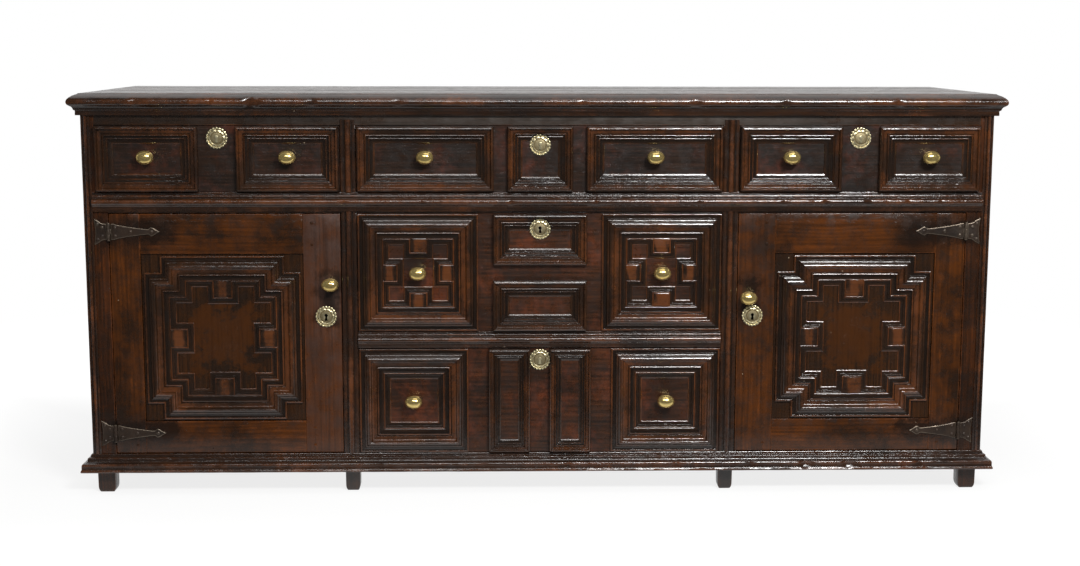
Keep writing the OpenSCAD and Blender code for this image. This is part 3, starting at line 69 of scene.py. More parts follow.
def softbox(name, place, target, width, height, power):
    """A broad area lamp at place, turned to target."""
    turn = (Vector(target) - Vector(place)).to_track_quat("-Z", "Y").to_euler()
    bpy.ops.object.light_add(type="AREA", location=place, rotation=turn)
    lamp = bpy.context.object
    lamp.name = name
    lamp.data.shape = "RECTANGLE"
    lamp.data.size = width
    lamp.data.size_y = height
    lamp.data.energy = power


softbox("main_softbox", (1.07, -3.0, 2.5), (0.25, -0.2, 0.45), 0.98, 0.54, 93)
softbox("left_softbox", (-0.35, -3.0, 2.5), (-0.2, -0.2, 0.45), 1.4, 0.6, 20)
softbox("top_softbox", (0.3, -0.9, 2.9), (0.1, -0.1, 0.4), 1.8, 1.0, 6)


def add(tree, kind, inputs=None, **settings):
    """A shader node with its settings and its inputs, which are sockets or plain values."""
    node = tree.nodes.new("ShaderNode" + kind)
    for key, value in settings.items():
        setattr(node, key, value)
    for key, value in (inputs or {}).items():
        if isinstance(value, bpy.types.NodeSocket):
            tree.links.new(value, node.inputs[key])
        else:
            node.inputs[key].default_value = value
    return node


def calc(tree, operation, a, b=0.0, c=0.0):
    """What a Math node makes of up to three numbers."""
    return add(tree, "Math", {0: a, 1: b, 2: c}, operation=operation).outputs[0]


def calc3(tree, operation, a, b=(0, 0, 0), result=0):
    """What a Vector Math node makes of one or two vectors."""
    return add(tree, "VectorMath", {0: a, 1: b}, operation=operation).outputs[result]


def split(tree, vector):
    return add(tree, "SeparateXYZ", {0: vector}).outputs


def between(tree, value, low, high):
    """0 below low, 1 above high, smooth between them."""
    return add(tree, "MapRange", {"Value": value, "From Min": low, "From Max": high},
               interpolation_type="SMOOTHSTEP").outputs[0]


def mix(tree, factor, a, b):
    return add(tree, "Mix", {0: factor, 6: a, 7: b}, data_type="RGBA").outputs[2]


def tone(red, green, blue):
    """A colour from its screen values, 0 to 255."""
    return tuple(((v/255 + 0.055)/1.055)**2.4 if v > 10 else v/3294 for v in (red, green, blue)) + (1.0,)


# What shiny surfaces see: white behind the dresser, a dim room in front of it. The camera sees white.
room_light = 0.42
room_dim = 0.045
studio = bpy.data.worlds.new("studio")
studio.use_nodes = True
scene.world = studio
sky = studio.node_tree
rays = add(sky, "LightPath").outputs
direction = split(sky, add(sky, "TexCoord").outputs["Generated"])
behind = between(sky, direction["Y"], -0.12, 0.2)
seen_in_gloss = calc(sky, "MULTIPLY_ADD", behind, 1 - room_dim, room_dim)
gloss_part = calc(sky, "MULTIPLY_ADD", rays["Is Glossy Ray"], calc(sky, "SUBTRACT", seen_in_gloss, room_light),
                  room_light)
white_part = calc(sky, "MAXIMUM", rays["Is Camera Ray"], rays["Is Transmission Ray"])
level = calc(sky, "MAXIMUM", white_part, gloss_part)
sky.links.new(level, sky.nodes["Background"].inputs["Strength"])
sky.nodes["Background"].inputs["Color"].default_value = (1, 1, 1, 1)

def fresh(primitive, **settings):
    """A new primitive, alone in the selection."""
    bpy.ops.object.select_all(action="DESELECT")
    primitive(**settings)
    return bpy.context.object


floor = fresh(bpy.ops.mesh.primitive_circle_add, vertices=64, radius=2.6, fill_type="NGON")
floor.name = "studio_floor"
dresser_half = (0.99, 0.29, 0)
paper = bpy.data.materials.new("floor paper")
paper.use_nodes = True
sheet = paper.node_tree
rays = add(sheet, "LightPath").outputs
shaded = add(sheet, "BsdfDiffuse", {"Color": tone(236, 236, 235)}).outputs[0]
bright = add(sheet, "Emission", {"Color": (1, 1, 1, 1), "Strength": 1.1}).outputs[0]
floor_place = calc3(sheet, "ABSOLUTE", add(sheet, "TexCoord").outputs["Object"])
beyond = split(sheet, calc3(sheet, "SUBTRACT", floor_place, dresser_half))
away = calc(sheet, "MAXIMUM", beyond["X"], beyond["Y"])
near = calc(sheet, "SUBTRACT", 1.0, between(sheet, away, 0.0, 0.6))
white_share = calc(sheet, "MULTIPLY_ADD", between(sheet, away, 0.1, 0.8), 0.26, 0.74)
background_share = calc(sheet, "MULTIPLY", white_share, calc(sheet, "MAXIMUM", rays["Is Camera Ray"],
                                                             rays["Is Transmission Ray"]))
lit_paper = add(sheet, "MixShader", {0: background_share, 1: shaded, 2: bright}).outputs[0]
in_gloss = add(sheet, "Emission", {"Color": (1, 1, 1, 1),
                                   "Strength": calc(sheet, "MULTIPLY_ADD", near, 0.6, room_dim)}).outputs[0]
sheet.links.new(add(sheet, "MixShader", {0: rays["Is Glossy Ray"], 1: lit_paper, 2: in_gloss}).outputs[0],
                sheet.nodes["Material Output"].inputs["Surface"])
floor.data.materials.append(paper)

# Top: three long oak planks laid edge to edge on the frame, sawn and planed, nailed down.
# Old dark polish, rubbed bare along the arrises; a narrow gap between the planks.
MM = 0.001
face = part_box("front_rails")[0].y
planks_low, planks_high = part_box("top_boards")
top_z = planks_high.z/MM


def at(x, y, z):
    """A point from millimetres: x from the middle, y back from the posts' face, z up from the floor."""
    return Vector((x*MM, face + y*MM, z*MM))


def only(ob):
    bpy.ops.object.select_all(action="DESELECT")
    ob.select_set(True)
    bpy.context.view_layer.objects.active = ob


@contextmanager
def editing(ob):
    """Edit mode on one object."""
    only(ob)
    bpy.ops.object.mode_set(mode="EDIT")
    yield
    bpy.ops.object.mode_set(mode="OBJECT")


def settle(ob):
    """Puts an object's place, turn and size into its mesh."""
    only(ob)
    bpy.ops.object.transform_apply(location=True, rotation=True, scale=True)


def pick(ob, kind, test):
    """In edit mode, selects the vertices, edges or faces that pass the test."""
    bpy.ops.mesh.select_mode(type=kind)
    bpy.ops.mesh.select_all(action="DESELECT")
    mesh = bmesh.from_edit_mesh(ob.data)
    for part in {"VERT": mesh.verts, "EDGE": mesh.edges, "FACE": mesh.faces}[kind]:
        if test(part):
            part.select_set(True)
    mesh.select_flush_mode()
    bmesh.update_edit_mesh(ob.data)


def modify(ob, kind, **settings):
    """Adds a modifier and applies it."""
    only(ob)
    modifier = ob.modifiers.new(kind.lower(), kind)
    for key, value in settings.items():
        setattr(modifier, key, value)
    bpy.ops.object.modifier_apply(modifier=modifier.name)


def soften(ob, width):
    modify(ob, "BEVEL", width=width*MM, segments=2, limit_method="ANGLE", angle_limit=math.radians(40))


def unevenness(name, size):
    lumps = bpy.data.textures.new(name, "CLOUDS")
    lumps.noise_scale = size*MM
    return lumps


plane_marks = unevenness("plane marks", 70)
small_dents = unevenness("small dents", 22)


def coordinates(ob):
    flat = np.empty(len(ob.data.vertices)*3, np.float32)
    ob.data.vertices.foreach_get("co", flat)
    return flat.reshape(-1, 3)


def corners(ob):
    co = coordinates(ob)
    return Vector(co.min(axis=0).tolist()), Vector(co.max(axis=0).tolist())


def store(ob, name, values):
    """Keeps a number or a vector for each vertex under a name that the materials read."""
    values = np.full(len(ob.data.vertices), values) if np.isscalar(values) else values
    kind, field = ("FLOAT_VECTOR", "vector") if values.ndim > 1 else ("FLOAT", "value")
    attribute = ob.data.attributes.get(name) or ob.data.attributes.new(name, kind, "POINT")
    attribute.data.foreach_set(field, values.astype(np.float32).ravel())


def random_shift():
    return np.array([chance.uniform(0, 8) for _ in range(3)])


def store_board(ob, low, high, along):
    """Grain along one axis, and each point's distance from the board's middle, for its worn arrises."""
    co = coordinates(ob)
    others = sorted((i for i in range(3) if i != along), key=lambda i: low[i] - high[i])
    middle = np.array((low + high)/2)
    store(ob, "grain", (co - middle)[:, [along] + others] + random_shift())
    store(ob, "reach", co - middle)
    store(ob, "half", np.tile(np.array((high - low)/2), (len(co), 1)))


def billet(low, high):
    """A plain block between two corners, still to be worked."""
    ob = fresh(bpy.ops.mesh.primitive_cube_add, size=1, location=(low + high)/2)
    ob.scale = high - low
    settle(ob)
    return ob


def board(low, high, along, arris=1.2, uneven=0.6, spacing=45):
    """One oak board between two corners: loops across its length, softened arrises, hand-planed faces."""
    ob = billet(low, high)
    length = (high - low)[along]
    with editing(ob):
        pick(ob, "EDGE", lambda e: abs((e.verts[0].co - e.verts[1].co)[along]) > length/2)
        bpy.ops.mesh.subdivide(number_cuts=max(2, min(60, round(length/(spacing*MM)))))
    soften(ob, arris)
    modify(ob, "DISPLACE", texture=plane_marks, texture_coords="LOCAL", strength=uneven*MM)
    inside = np.clip(coordinates(ob), np.array(low), np.array(high))
    ob.data.vertices.foreach_set("co", inside.ravel())
    store_board(ob, low, high, along)
    return ob


def join(parts):
    """Joins the parts to the first of them."""
    only(parts[0])
    for part in parts:
        part.select_set(True)
    if len(parts) > 1:
        bpy.ops.object.join()
    return parts[0]


def piece(name, parts, body, finish, node):
    """Joins the parts to one piece that rides on a body and stands for a node."""
    ob = join(parts)
    ob.name = name
    ob.data.name = name
    settle(ob)
    bpy.ops.object.shade_smooth_by_angle(angle=math.radians(38))
    ob.data.materials.clear()
    ob.data.materials.append(finish)
    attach(ob, body)
    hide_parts(node)


def group(name, inputs, outputs):
    """An empty shader node group with named sockets: its tree, what comes in and what goes out."""
    tree = bpy.data.node_groups.new(name, "ShaderNodeTree")
    for label, kind in inputs.items():
        tree.interface.new_socket(label, in_out="INPUT", socket_type="NodeSocket" + kind)
    for label, kind in outputs.items():
        tree.interface.new_socket(label, in_out="OUTPUT", socket_type="NodeSocket" + kind)
    return tree, tree.nodes.new("NodeGroupInput").outputs, tree.nodes.new("NodeGroupOutput").inputs


def place_group(tree, inner, inputs):
    return add(tree, "Group", inputs, node_tree=inner).outputs


def noise(tree, vector, per_metre, detail=3.0, roughness=0.55):
    """Noise from 0 to 1 with so many grains in a metre on each axis."""
    stretched = calc3(tree, "MULTIPLY", vector, per_metre)
    return add(tree, "TexNoise", {"Vector": stretched, "Scale": 1.0, "Detail": detail,
                                  "Roughness": roughness}).outputs[0]


# Oak's figure: growth rings as long streaks, short dark pores and pale rays, all along the grain
figure, taken, given = group("oak figure", {"Grain": "Vector"},
                             {"Figure": "Float", "Pores": "Float", "Height": "Float"})
streaks = noise(figure, taken["Grain"], (4, 210, 210), 4, 0.6)
warp = noise(figure, taken["Grain"], (2.2, 16, 16), 2)
across = split(figure, taken["Grain"])
ring_place = calc(figure, "MULTIPLY_ADD", across[1], 620.0, calc(figure, "MULTIPLY", warp, 34.0))
rings = calc(figure, "MULTIPLY_ADD", calc(figure, "SINE", ring_place), 0.5, 0.5)
soft_rings = calc(figure, "MULTIPLY_ADD", rings, 0.14, calc(figure, "MULTIPLY", streaks, 0.86))
fibres = noise(figure, taken["Grain"], (30, 1100, 1100), 2, 0.7)
pores = between(figure, noise(figure, taken["Grain"], (85, 1500, 1500), 1.5, 0.6), 0.6, 0.7)
pores_in_rings = calc(figure, "MULTIPLY", pores, between(figure, rings, 0.2, 0.7))
ray_flecks = between(figure, noise(figure, taken["Grain"], (26, 75, 420), 2, 0.5), 0.64, 0.72)
with_fibres = calc(figure, "MULTIPLY_ADD", calc(figure, "SUBTRACT", fibres, 0.5), 0.35, soft_rings)
with_rays = calc(figure, "MULTIPLY_ADD", ray_flecks, 0.16, with_fibres)
figure_height = calc(figure, "MULTIPLY_ADD", pores_in_rings, -0.5, calc(figure, "MULTIPLY", fibres, 0.35))
figure.links.new(with_rays, given["Figure"])
figure.links.new(pores_in_rings, given["Pores"])
figure.links.new(figure_height, given["Height"])

# Three centuries of polish and handling: dark patches, uneven gloss, dents, pale chips and dark holes
polish, taken, given = group("old polish", {"Position": "Vector"},
                             {"Grime": "Float", "Gloss": "Float", "Height": "Float", "Chips": "Float",
                              "Holes": "Float"})
patches = noise(polish, taken["Position"], (7, 7, 7), 5, 0.6)
smears = noise(polish, taken["Position"], (38, 38, 38), 4, 0.65)
grime = calc(polish, "MULTIPLY_ADD", patches, 0.65, calc(polish, "MULTIPLY", smears, 0.35))
dents = noise(polish, taken["Position"], (62, 62, 62), 3, 0.55)
ripples = noise(polish, taken["Position"], (190, 190, 190), 3, 0.6)
dent_height = calc(polish, "MULTIPLY_ADD", dents, 2.2, calc(polish, "MULTIPLY", ripples, 0.45))
cells = add(polish, "TexVoronoi", {"Vector": taken["Position"], "Scale": 52.0}, feature="F1").outputs
cell_tint = split(polish, cells["Color"])
near_cell = calc(polish, "SUBTRACT", 1.0, between(polish, cells["Distance"], 0.035, 0.075))
chip_dots = calc(polish, "MULTIPLY", near_cell, calc(polish, "GREATER_THAN", cell_tint[0], 0.965))
hole_dots = calc(polish, "MULTIPLY", near_cell, calc(polish, "LESS_THAN", cell_tint[0], 0.07))
polish.links.new(between(polish, grime, 0.4, 0.66), given["Grime"])
polish.links.new(between(polish, smears, 0.3, 0.72), given["Gloss"])
polish.links.new(calc(polish, "MULTIPLY_ADD", hole_dots, -1.2, dent_height), given["Height"])
polish.links.new(chip_dots, given["Chips"])
polish.links.new(hole_dots, given["Holes"])

# Rubbed places: wear from 0 to 1, broken up by small noise and stronger in some stretches than in others
rubbed, taken, given = group("rubbed", {"Wear": "Float", "Position": "Vector"}, {"Mask": "Float"})
broken = noise(rubbed, taken["Position"], (55, 55, 55), 4, 0.7)
stretches = noise(rubbed, taken["Position"], (8, 8, 8), 2)
less_or_more = calc(rubbed, "MULTIPLY_ADD", calc(rubbed, "SUBTRACT", stretches, 0.5), 1.3, taken["Wear"])
uneven_wear = calc(rubbed, "MULTIPLY_ADD", calc(rubbed, "SUBTRACT", broken, 0.5), 0.9, less_or_more)
rubbed.links.new(calc(rubbed, "MULTIPLY", between(rubbed, uneven_wear, 0.2, 1.0),
                      between(rubbed, taken["Wear"], 0.0, 0.25)), given["Mask"])

# Distance from the nearest arris of a board, from each point's distance to the board's middle
arrises, taken, given = group("arrises", {"Reach": "Vector", "Half": "Vector"}, {"Distance": "Float"})
gaps = split(arrises, calc3(arrises, "SUBTRACT", taken["Half"], calc3(arrises, "ABSOLUTE", taken["Reach"])))
lower = calc(arrises, "MINIMUM", gaps[0], gaps[1])
upper = calc(arrises, "MAXIMUM", gaps[0], gaps[1])
second = calc(arrises, "MAXIMUM", lower, calc(arrises, "MINIMUM", upper, gaps[2]))
arrises.links.new(second, given["Distance"])


stain_spread = 0.034
stain_blur = 0.03
stain_strength = 0.85


def stained(tree, position, patchy, place):
    """How dark a stain is, from its edge outwards over a few centimetres."""
    x, z, half_w, half_h = (v*MM for v in place)
    from_middle = calc3(tree, "SUBTRACT", calc3(tree, "ABSOLUTE", position), (x, 0, z))
    outside = calc3(tree, "SUBTRACT", calc3(tree, "ABSOLUTE", from_middle), (half_w, 9.0, half_h))
    far = calc3(tree, "LENGTH", calc3(tree, "MAXIMUM", outside), result="Value")
    blurred = calc(tree, "MULTIPLY_ADD", calc(tree, "SUBTRACT", patchy, 0.5), stain_blur, far)
    dark = calc(tree, "SUBTRACT", 1.0, between(tree, blurred, 0.0, stain_spread))
    return calc(tree, "MULTIPLY", dark, stain_strength)


def blank_material(name):
    """A new material, its node tree, its shader's inputs and each point's place on the object."""
    material = bpy.data.materials.new(name)
    material.use_nodes = True
    tree = material.node_tree
    return material, tree, tree.nodes["Principled BSDF"].inputs, add(tree, "TexCoord").outputs["Object"]


def stored(tree, name, output="Fac"):
    """What store keeps under a name."""
    return add(tree, "Attribute", attribute_name=name).outputs[output]


def finish_with(tree, shader, colour, roughness, height, depth, shine=None):
    """Links a surface's colour, roughness and bump, the bump's depth in millimetres."""
    normal = add(tree, "Bump", {"Height": height, "Distance": depth*MM, "Strength": 1.0}).outputs[0]
    for key, value in {"Base Color": colour, "Roughness": roughness, "Normal": normal}.items():
        tree.links.new(value, shader[key])
    if shine is not None:
        shader["Specular IOR Level"].default_value = shine


# The first of these darkens a moulding's hollows: dirt and painted shade.
hollow_dirt_and_shade, stain_dark, hole_dark, chip_pale = tone(16, 10, 6), tone(22, 16, 12), tone(8, 6, 5), tone(176, 158, 134)
worn_depth = 0.004
arris_wear = 0.55


def oak(name, dark, mid, light, worn, dirt, grain=None, wear=0.0, roughness=(0.2, 0.42), shine=0.85,
        dirty=0.7, field=None, bump=0.55, cast=None, stains=()):
    """Oak with its figure under old polish. grain is None for the board's own, or the axis of a CAD board.
    wear is a number, "section" for a moulding's own, or "arris" for a board's arrises.
    A section's hollows, where its wear is low, are painted darker: dirt and painted shade.
    field is the middle and half size of a panel whose middle is rubbed; near its moulding the panel stays
    darker, painted shade as well as dirt. cast tints the boards marked for it; on the top rail the tint
    is a painted reflection, strongest a little right of the middle.
    stains are dark places, alike on both sides: distance from the middle, height, half width, half height."""
    dark, mid, light, worn, dirt = (tone(*colour) for colour in (dark, mid, light, worn, dirt))
    material, tree, shader, position = blank_material(name)
    vector = stored(tree, "grain", "Vector")
    if grain:
        parts = split(tree, position)
        order = {"X": (0, 2, 1), "Y": (1, 2, 0), "Z": (2, 0, 1)}[grain]
        vector = add(tree, "CombineXYZ", {i: parts[order[i]] for i in range(3)}).outputs[0]
    wood = place_group(tree, figure, {"Grain": vector})
    age = place_group(tree, polish, {"Position": position})
    half_way = between(tree, wood["Figure"], 0.28, 0.55)
    colour = mix(tree, half_way, dark, mid)
    colour = mix(tree, between(tree, wood["Figure"], 0.5, 0.8), colour, light)
    colour = mix(tree, calc(tree, "MULTIPLY", age["Grime"], dirty), colour, dirt)
    # Boards marked for a cast are tinted towards it and made rougher; on the top rail this is a painted reflection.
    if cast:
        cast = tone(*cast)
        marked = calc(tree, "MULTIPLY", stored(tree, "cast"), calc(tree, "MULTIPLY_ADD", age["Gloss"], 0.5, 0.6))
        lighter = tuple(1.5*v for v in cast)
        colour = mix(tree, calc(tree, "MULTIPLY", marked, 0.7), colour, mix(tree, half_way, cast, lighter))
    amount = wear
    if wear == "section":
        amount = stored(tree, "wear")
        # Where a section's wear is low, its hollows are painted darker: dirt and painted shade.
        hollow = calc(tree, "SUBTRACT", 1.0, between(tree, amount, 0.0, 0.14))
        colour = mix(tree, calc(tree, "MULTIPLY", hollow, 0.6), colour, hollow_dirt_and_shade)
    elif wear == "arris":
        distance = place_group(tree, arrises, {"Reach": stored(tree, "reach", "Vector"),
                                               "Half": stored(tree, "half", "Vector")})["Distance"]
        near_arris = calc(tree, "SUBTRACT", 1.0, between(tree, distance, 0.0, worn_depth))
        amount = calc(tree, "MULTIPLY", near_arris, arris_wear)
    # A panel's field: rubbed lighter in its middle; near the moulding round it, it stays darker as painted shade and
    # dirt.
    if field:
        middle, half = field
        share = calc3(tree, "DIVIDE", calc3(tree, "SUBTRACT", position, middle), half)
        sides = split(tree, calc3(tree, "ABSOLUTE", share))
        edge = calc(tree, "MAXIMUM", sides[0], sides[2])
        blotchy = calc(tree, "MULTIPLY_ADD", calc(tree, "SUBTRACT", age["Gloss"], 0.5), 0.5, edge)
        amount = calc(tree, "SUBTRACT", 1.0, between(tree, blotchy, 0.3, 0.95))
    mask = place_group(tree, rubbed, {"Wear": amount, "Position": position})["Mask"]
    colour = mix(tree, mask, colour, mix(tree, half_way, worn, tuple(min(1.0, v*1.35) for v in worn)))
    colour = mix(tree, calc(tree, "MULTIPLY", wood["Pores"], 0.45), colour, dirt)
    for stain in stains:
        colour = mix(tree, stained(tree, position, age["Gloss"], stain), colour, stain_dark)
    colour = mix(tree, age["Holes"], colour, hole_dark)
    colour = mix(tree, calc(tree, "MULTIPLY", age["Chips"], 0.7), colour, chip_pale)
    gloss = calc(tree, "MULTIPLY_ADD", age["Gloss"], roughness[1] - roughness[0], roughness[0])
    if cast:
        gloss = calc(tree, "MULTIPLY_ADD", marked, 0.2, gloss)
    finish_with(tree, shader, colour, gloss, calc(tree, "MULTIPLY_ADD", wood["Height"], 0.4, age["Height"]), bump,
                shine)
    return material


def dress(finish, slot_nodes):
    """Gives CAD nodes a finish."""
    for name in slot_nodes:
        for holder in nodes[name].material_slots:
            holder.material = finish


black_brown = (21, 14, 10)
top_oak = oak("top oak", (36, 22, 14), (56, 34, 21), (76, 48, 30), (98, 60, 34), black_brown,
              wear="arris", roughness=(0.24, 0.4))
planks_n = 3
plank_w = (planks_high.y - planks_low.y)/planks_n
plank_gap = 1.0*MM
planks = []
for i in range(planks_n):
    low = Vector((planks_low.x, planks_low.y + i*plank_w + (plank_gap if i else 0), planks_low.z))
    high = Vector((planks_high.x, planks_low.y + (i + 1)*plank_w, planks_high.z))
    planks.append(board(low, high, 0, arris=1.6, uneven=1.4))
piece("top_planks", planks, "carcass", top_oak, "top_boards")

# Cornice: an oak moulding under the edge of the top, a worn round nose over a hollow and a flat band.
# One length along the front and one on each end, cut with a plane to one section and mitred at the corners.
mitre_gap = 0.15


def face_outwards():
    bpy.ops.mesh.select_all(action="SELECT")
    bpy.ops.mesh.normals_make_consistent(inside=False)


def extrude(*way):
    """Draws what is selected out, in millimetres."""
    bpy.ops.mesh.extrude_region_move(TRANSFORM_OT_translate={"value": [v*MM for v in way]})


def stick(name, points, width, out, length, step, arris, uneven, dents):
    """A run of moulding along X. Its section's points are [share of its width, share of its height, wear]; low wear
    also paints the hollows darker, dirt and painted shade.
    """
    section = np.array(points)*(width, out, 1)
    ob = fresh(bpy.ops.mesh.primitive_circle_add, vertices=len(section), fill_type="NGON")
    ob.name = name
    ob.data.vertices.foreach_set("co", [c*MM for q in section for c in (0, q[0], q[1])])
    with editing(ob):
        extrude(length, 0, 0)
        pick(ob, "EDGE", lambda e: abs(e.verts[0].co.x - e.verts[1].co.x) > length*MM/2)
        bpy.ops.mesh.subdivide(number_cuts=max(1, min(100, round(length/step))))
        if length/step > 101:
            pick(ob, "EDGE", lambda e: abs(e.verts[0].co.x - e.verts[1].co.x) > 1.2*step*MM)
            bpy.ops.mesh.subdivide(number_cuts=round(length/step/101))
        face_outwards()
    soften(ob, arris)
    co = coordinates(ob)
    ends = np.roll(section, -1, axis=0)
    run = ends[:, :2] - section[:, :2]
    nearest = np.full(len(co), 1e9)
    wear = np.zeros(len(co))
    for a, r, w0, w1 in zip(section[:, :2], run, section[:, 2], ends[:, 2]):
        t = np.clip(((co[:, 1:]/MM - a) @ r)/max(r @ r, 1e-9), 0, 1)
        far = np.linalg.norm(co[:, 1:]/MM - a - t[:, None]*r, axis=1)
        closer = far < nearest
        nearest[closer] = far[closer]
        wear[closer] = (w0 + (w1 - w0)*t)[closer]
    store(ob, "wear", wear)
    store(ob, "grain", co)
    backs = co[:, 2] < 0.05*MM
    for lumps, strength in ((plane_marks, uneven), (small_dents, dents)):
        modify(ob, "DISPLACE", texture=lumps, texture_coords="LOCAL", strength=strength*MM)
    moved = coordinates(ob)
    limits = section.max(axis=0)*MM
    moved[:, 1] = np.clip(moved[:, 1], section[:, 0].min()*MM, limits[0])
    moved[:, 2] = np.where(backs, co[:, 2], np.clip(moved[:, 2], 0, limits[1]))
    ob.data.vertices.foreach_set("co", moved.ravel())
    ob.hide_render = True
    return ob


def cut_through(ob, place, normal, keep_front):
    """Saws ob along a plane and keeps what lies in front of it or behind it."""
    with editing(ob):
        bpy.ops.mesh.select_mode(type="VERT")
        bpy.ops.mesh.select_all(action="SELECT")
        bpy.ops.mesh.bisect(plane_co=place, plane_no=normal, use_fill=True, clear_inner=keep_front,
                        clear_outer=not keep_front)


def lay(run, start, end, out, start_cut=None, end_cut=None, gap=mitre_gap):
    """Cuts a length from a run and lays it from start to end, its height towards out.
    The cuts are the saw's directions, square to the length where none is given."""
    along = (end - start).normalized()
    length = (end - start).length
    out = Vector(out)
    side = out.cross(along)
    co = coordinates(run)
    spare = co[:, 1].max() + 2*MM
    slack = co[:, 0].max() - length - 2*spare
    offset = spare + chance.uniform(0, max(slack, 0))
    turned = Matrix((along, side, out)).transposed().to_4x4()
    ob = run.copy()
    ob.data = run.data.copy()
    ob.hide_render = False
    scene.collection.objects.link(ob)
    ob.matrix_world = Matrix.Translation(start) @ turned @ Matrix.Translation((-offset, 0, 0))
    settle(ob)
    first = Vector(start_cut).normalized() if start_cut else along
    last = Vector(end_cut).normalized() if end_cut else along
    cut_through(ob, start + first*gap*MM, first, True)
    cut_through(ob, end - last*gap*MM, last, False)
    grain = np.empty(len(ob.data.vertices)*3, np.float32)
    ob.data.attributes["grain"].data.foreach_get("vector", grain)
    store(ob, "grain", grain.reshape(-1, 3) + random_shift())
    return ob


def discard(*runs):
    for run in runs:
        bpy.data.objects.remove(run)


def knock(ob, place, size, depth, push):
    """A dent: pulls the nearest vertex in and its neighbours after it."""
    nearest = min(ob.data.vertices, key=lambda v: (v.co - place).length).index
    with editing(ob):
        pick(ob, "VERT", lambda v: v.index == nearest)
        bpy.ops.transform.translate(value=Vector(push)*depth*MM, use_proportional_edit=True,
                                    proportional_edit_falloff="SMOOTH", proportional_size=size*MM)


def round_the_carcass(run, foot, depth):
    """Front and end lengths of a moulding, mitred at the two front corners; foot is its lower edge."""
    left, right = planks_low.x, planks_high.x
    corner_l, corner_r = Vector((left, face, foot)), Vector((right, face, foot))
    front = lay(run, corner_l, corner_r, (0, -1, 0), (1, -1, 0), (1, 1, 0))
    end_r = lay(run, corner_r, corner_r + Vector((0, depth, 0)), (1, 0, 0), (1, 1, 0))
    end_l = lay(run, corner_l + Vector((0, depth, 0)), corner_l, (-1, 0, 0), None, (1, -1, 0))
    return front, end_r, end_l


moulding_oak = oak("moulding oak", (32, 20, 12), (44, 27, 15), (58, 35, 18), (80, 43, 18),
                   black_brown, wear="section", roughness=(0.12, 0.25), shine=1.0, bump=0.22)
nose_oak = oak("nose oak", (32, 19, 11), (48, 28, 15), (66, 38, 20), (88, 48, 22),
               black_brown, wear="section", roughness=(0.14, 0.3), shine=1.0, bump=0.3)
cornice_low, cornice_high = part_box("cornice")
cornice_h = (cornice_high.z - cornice_low.z)/MM
cornice_p = (cornice_high.x - planks_high.x)/MM
carcass_d = planks_high.y - face
nose = [[0.34, 0, 0], [0, 0, 0], [0, 0.36, 0.3], [0.05, 0.38, 0.2], [0.2, 0.37, 0.1], [0.225, 0.4, 0.2],
        [0.25, 0.5, 0.3], [0.32, 0.54, 0], [0.39, 0.62, 0], [0.45, 0.8, 0.15], [0.5, 0.93, 0.35],
        [0.57, 1.0, 0.5], [0.66, 0.99, 0.5], [0.74, 0.92, 0.45], [0.82, 0.76, 0.3], [0.89, 0.56, 0.2],
        [0.94, 0.34, 0.2], [0.965, 0.2, 0.4], [1.0, 0.12, 0.5], [1.0, 0, 0.1]]
cornice_run = stick("cornice_run", nose, cornice_h, cornice_p, 2*planks_high.x/MM + 160, step=7, arris=0.5,
                    uneven=1.1, dents=0.5)
cornice = round_the_carcass(cornice_run, cornice_low.z, carcass_d)
for x, size, depth in ((-610, 16, 9), (-598, 9, 6), (-694, 6, 5), (-480, 12, 3), (-300, 14, 3), (90, 10, 3),
                       (330, 16, 4), (520, 9, 4), (760, 12, 4), (-850, 12, 3)):
    knock(cornice[0], at(x, -cornice_p, top_z - 0.4*cornice_h), size, depth, (0, 1, 0))
piece("cornice_lengths", cornice, "carcass", nose_oak, "cornice")
discard(cornice_run)

# Posts: front, back and inner posts of riven oak, mortised for the rails, their feet tapered below the frame.
# The front ones are wide beside the doors; above the middle rail the drawers lap over them.
gap = 1.0
door_gap = 1.5
top_low, top_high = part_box("top_right_drawer_front")
upper_low, upper_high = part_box("upper_deep_drawer_front")
lower_low, lower_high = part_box("lower_deep_drawer_front")
door_low, door_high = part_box("right_door_frame")
base_low, base_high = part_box("base_moulding")
z_bottom = base_low.z/MM
z_lower = base_high.z/MM
z_drawer_rail = lower_high.z/MM + gap
z_upper = upper_low.z/MM - gap
z_mid = upper_high.z/MM + gap
z_top_open = top_low.z/MM - gap
z_top_rail = top_high.z/MM + gap
z_boards = planks_low.z/MM
x_side = planks_high.x/MM
x_door = door_high.x/MM + door_gap
x_upper = top_high.x/MM + gap
x_centre = upper_high.x/MM + gap
x_post = door_low.x/MM - door_gap
depth = carcass_d/MM
post_d = 50
rail_d = 40
back_post_d = 45
corner_foot = 37
inner_foot = 31
foot_wear = 4
taper_end = z_bottom - 1
foot_slope = 6


def mirror_board(x0, y0, z0, x1, y1, z1, along, side, **finish):
    """A board given for the right side, or its like on the left."""
    if side < 0:
        x0, x1 = -x1, -x0
    return board(at(x0, y0, z0), at(x1, y1, z1), along, **finish)


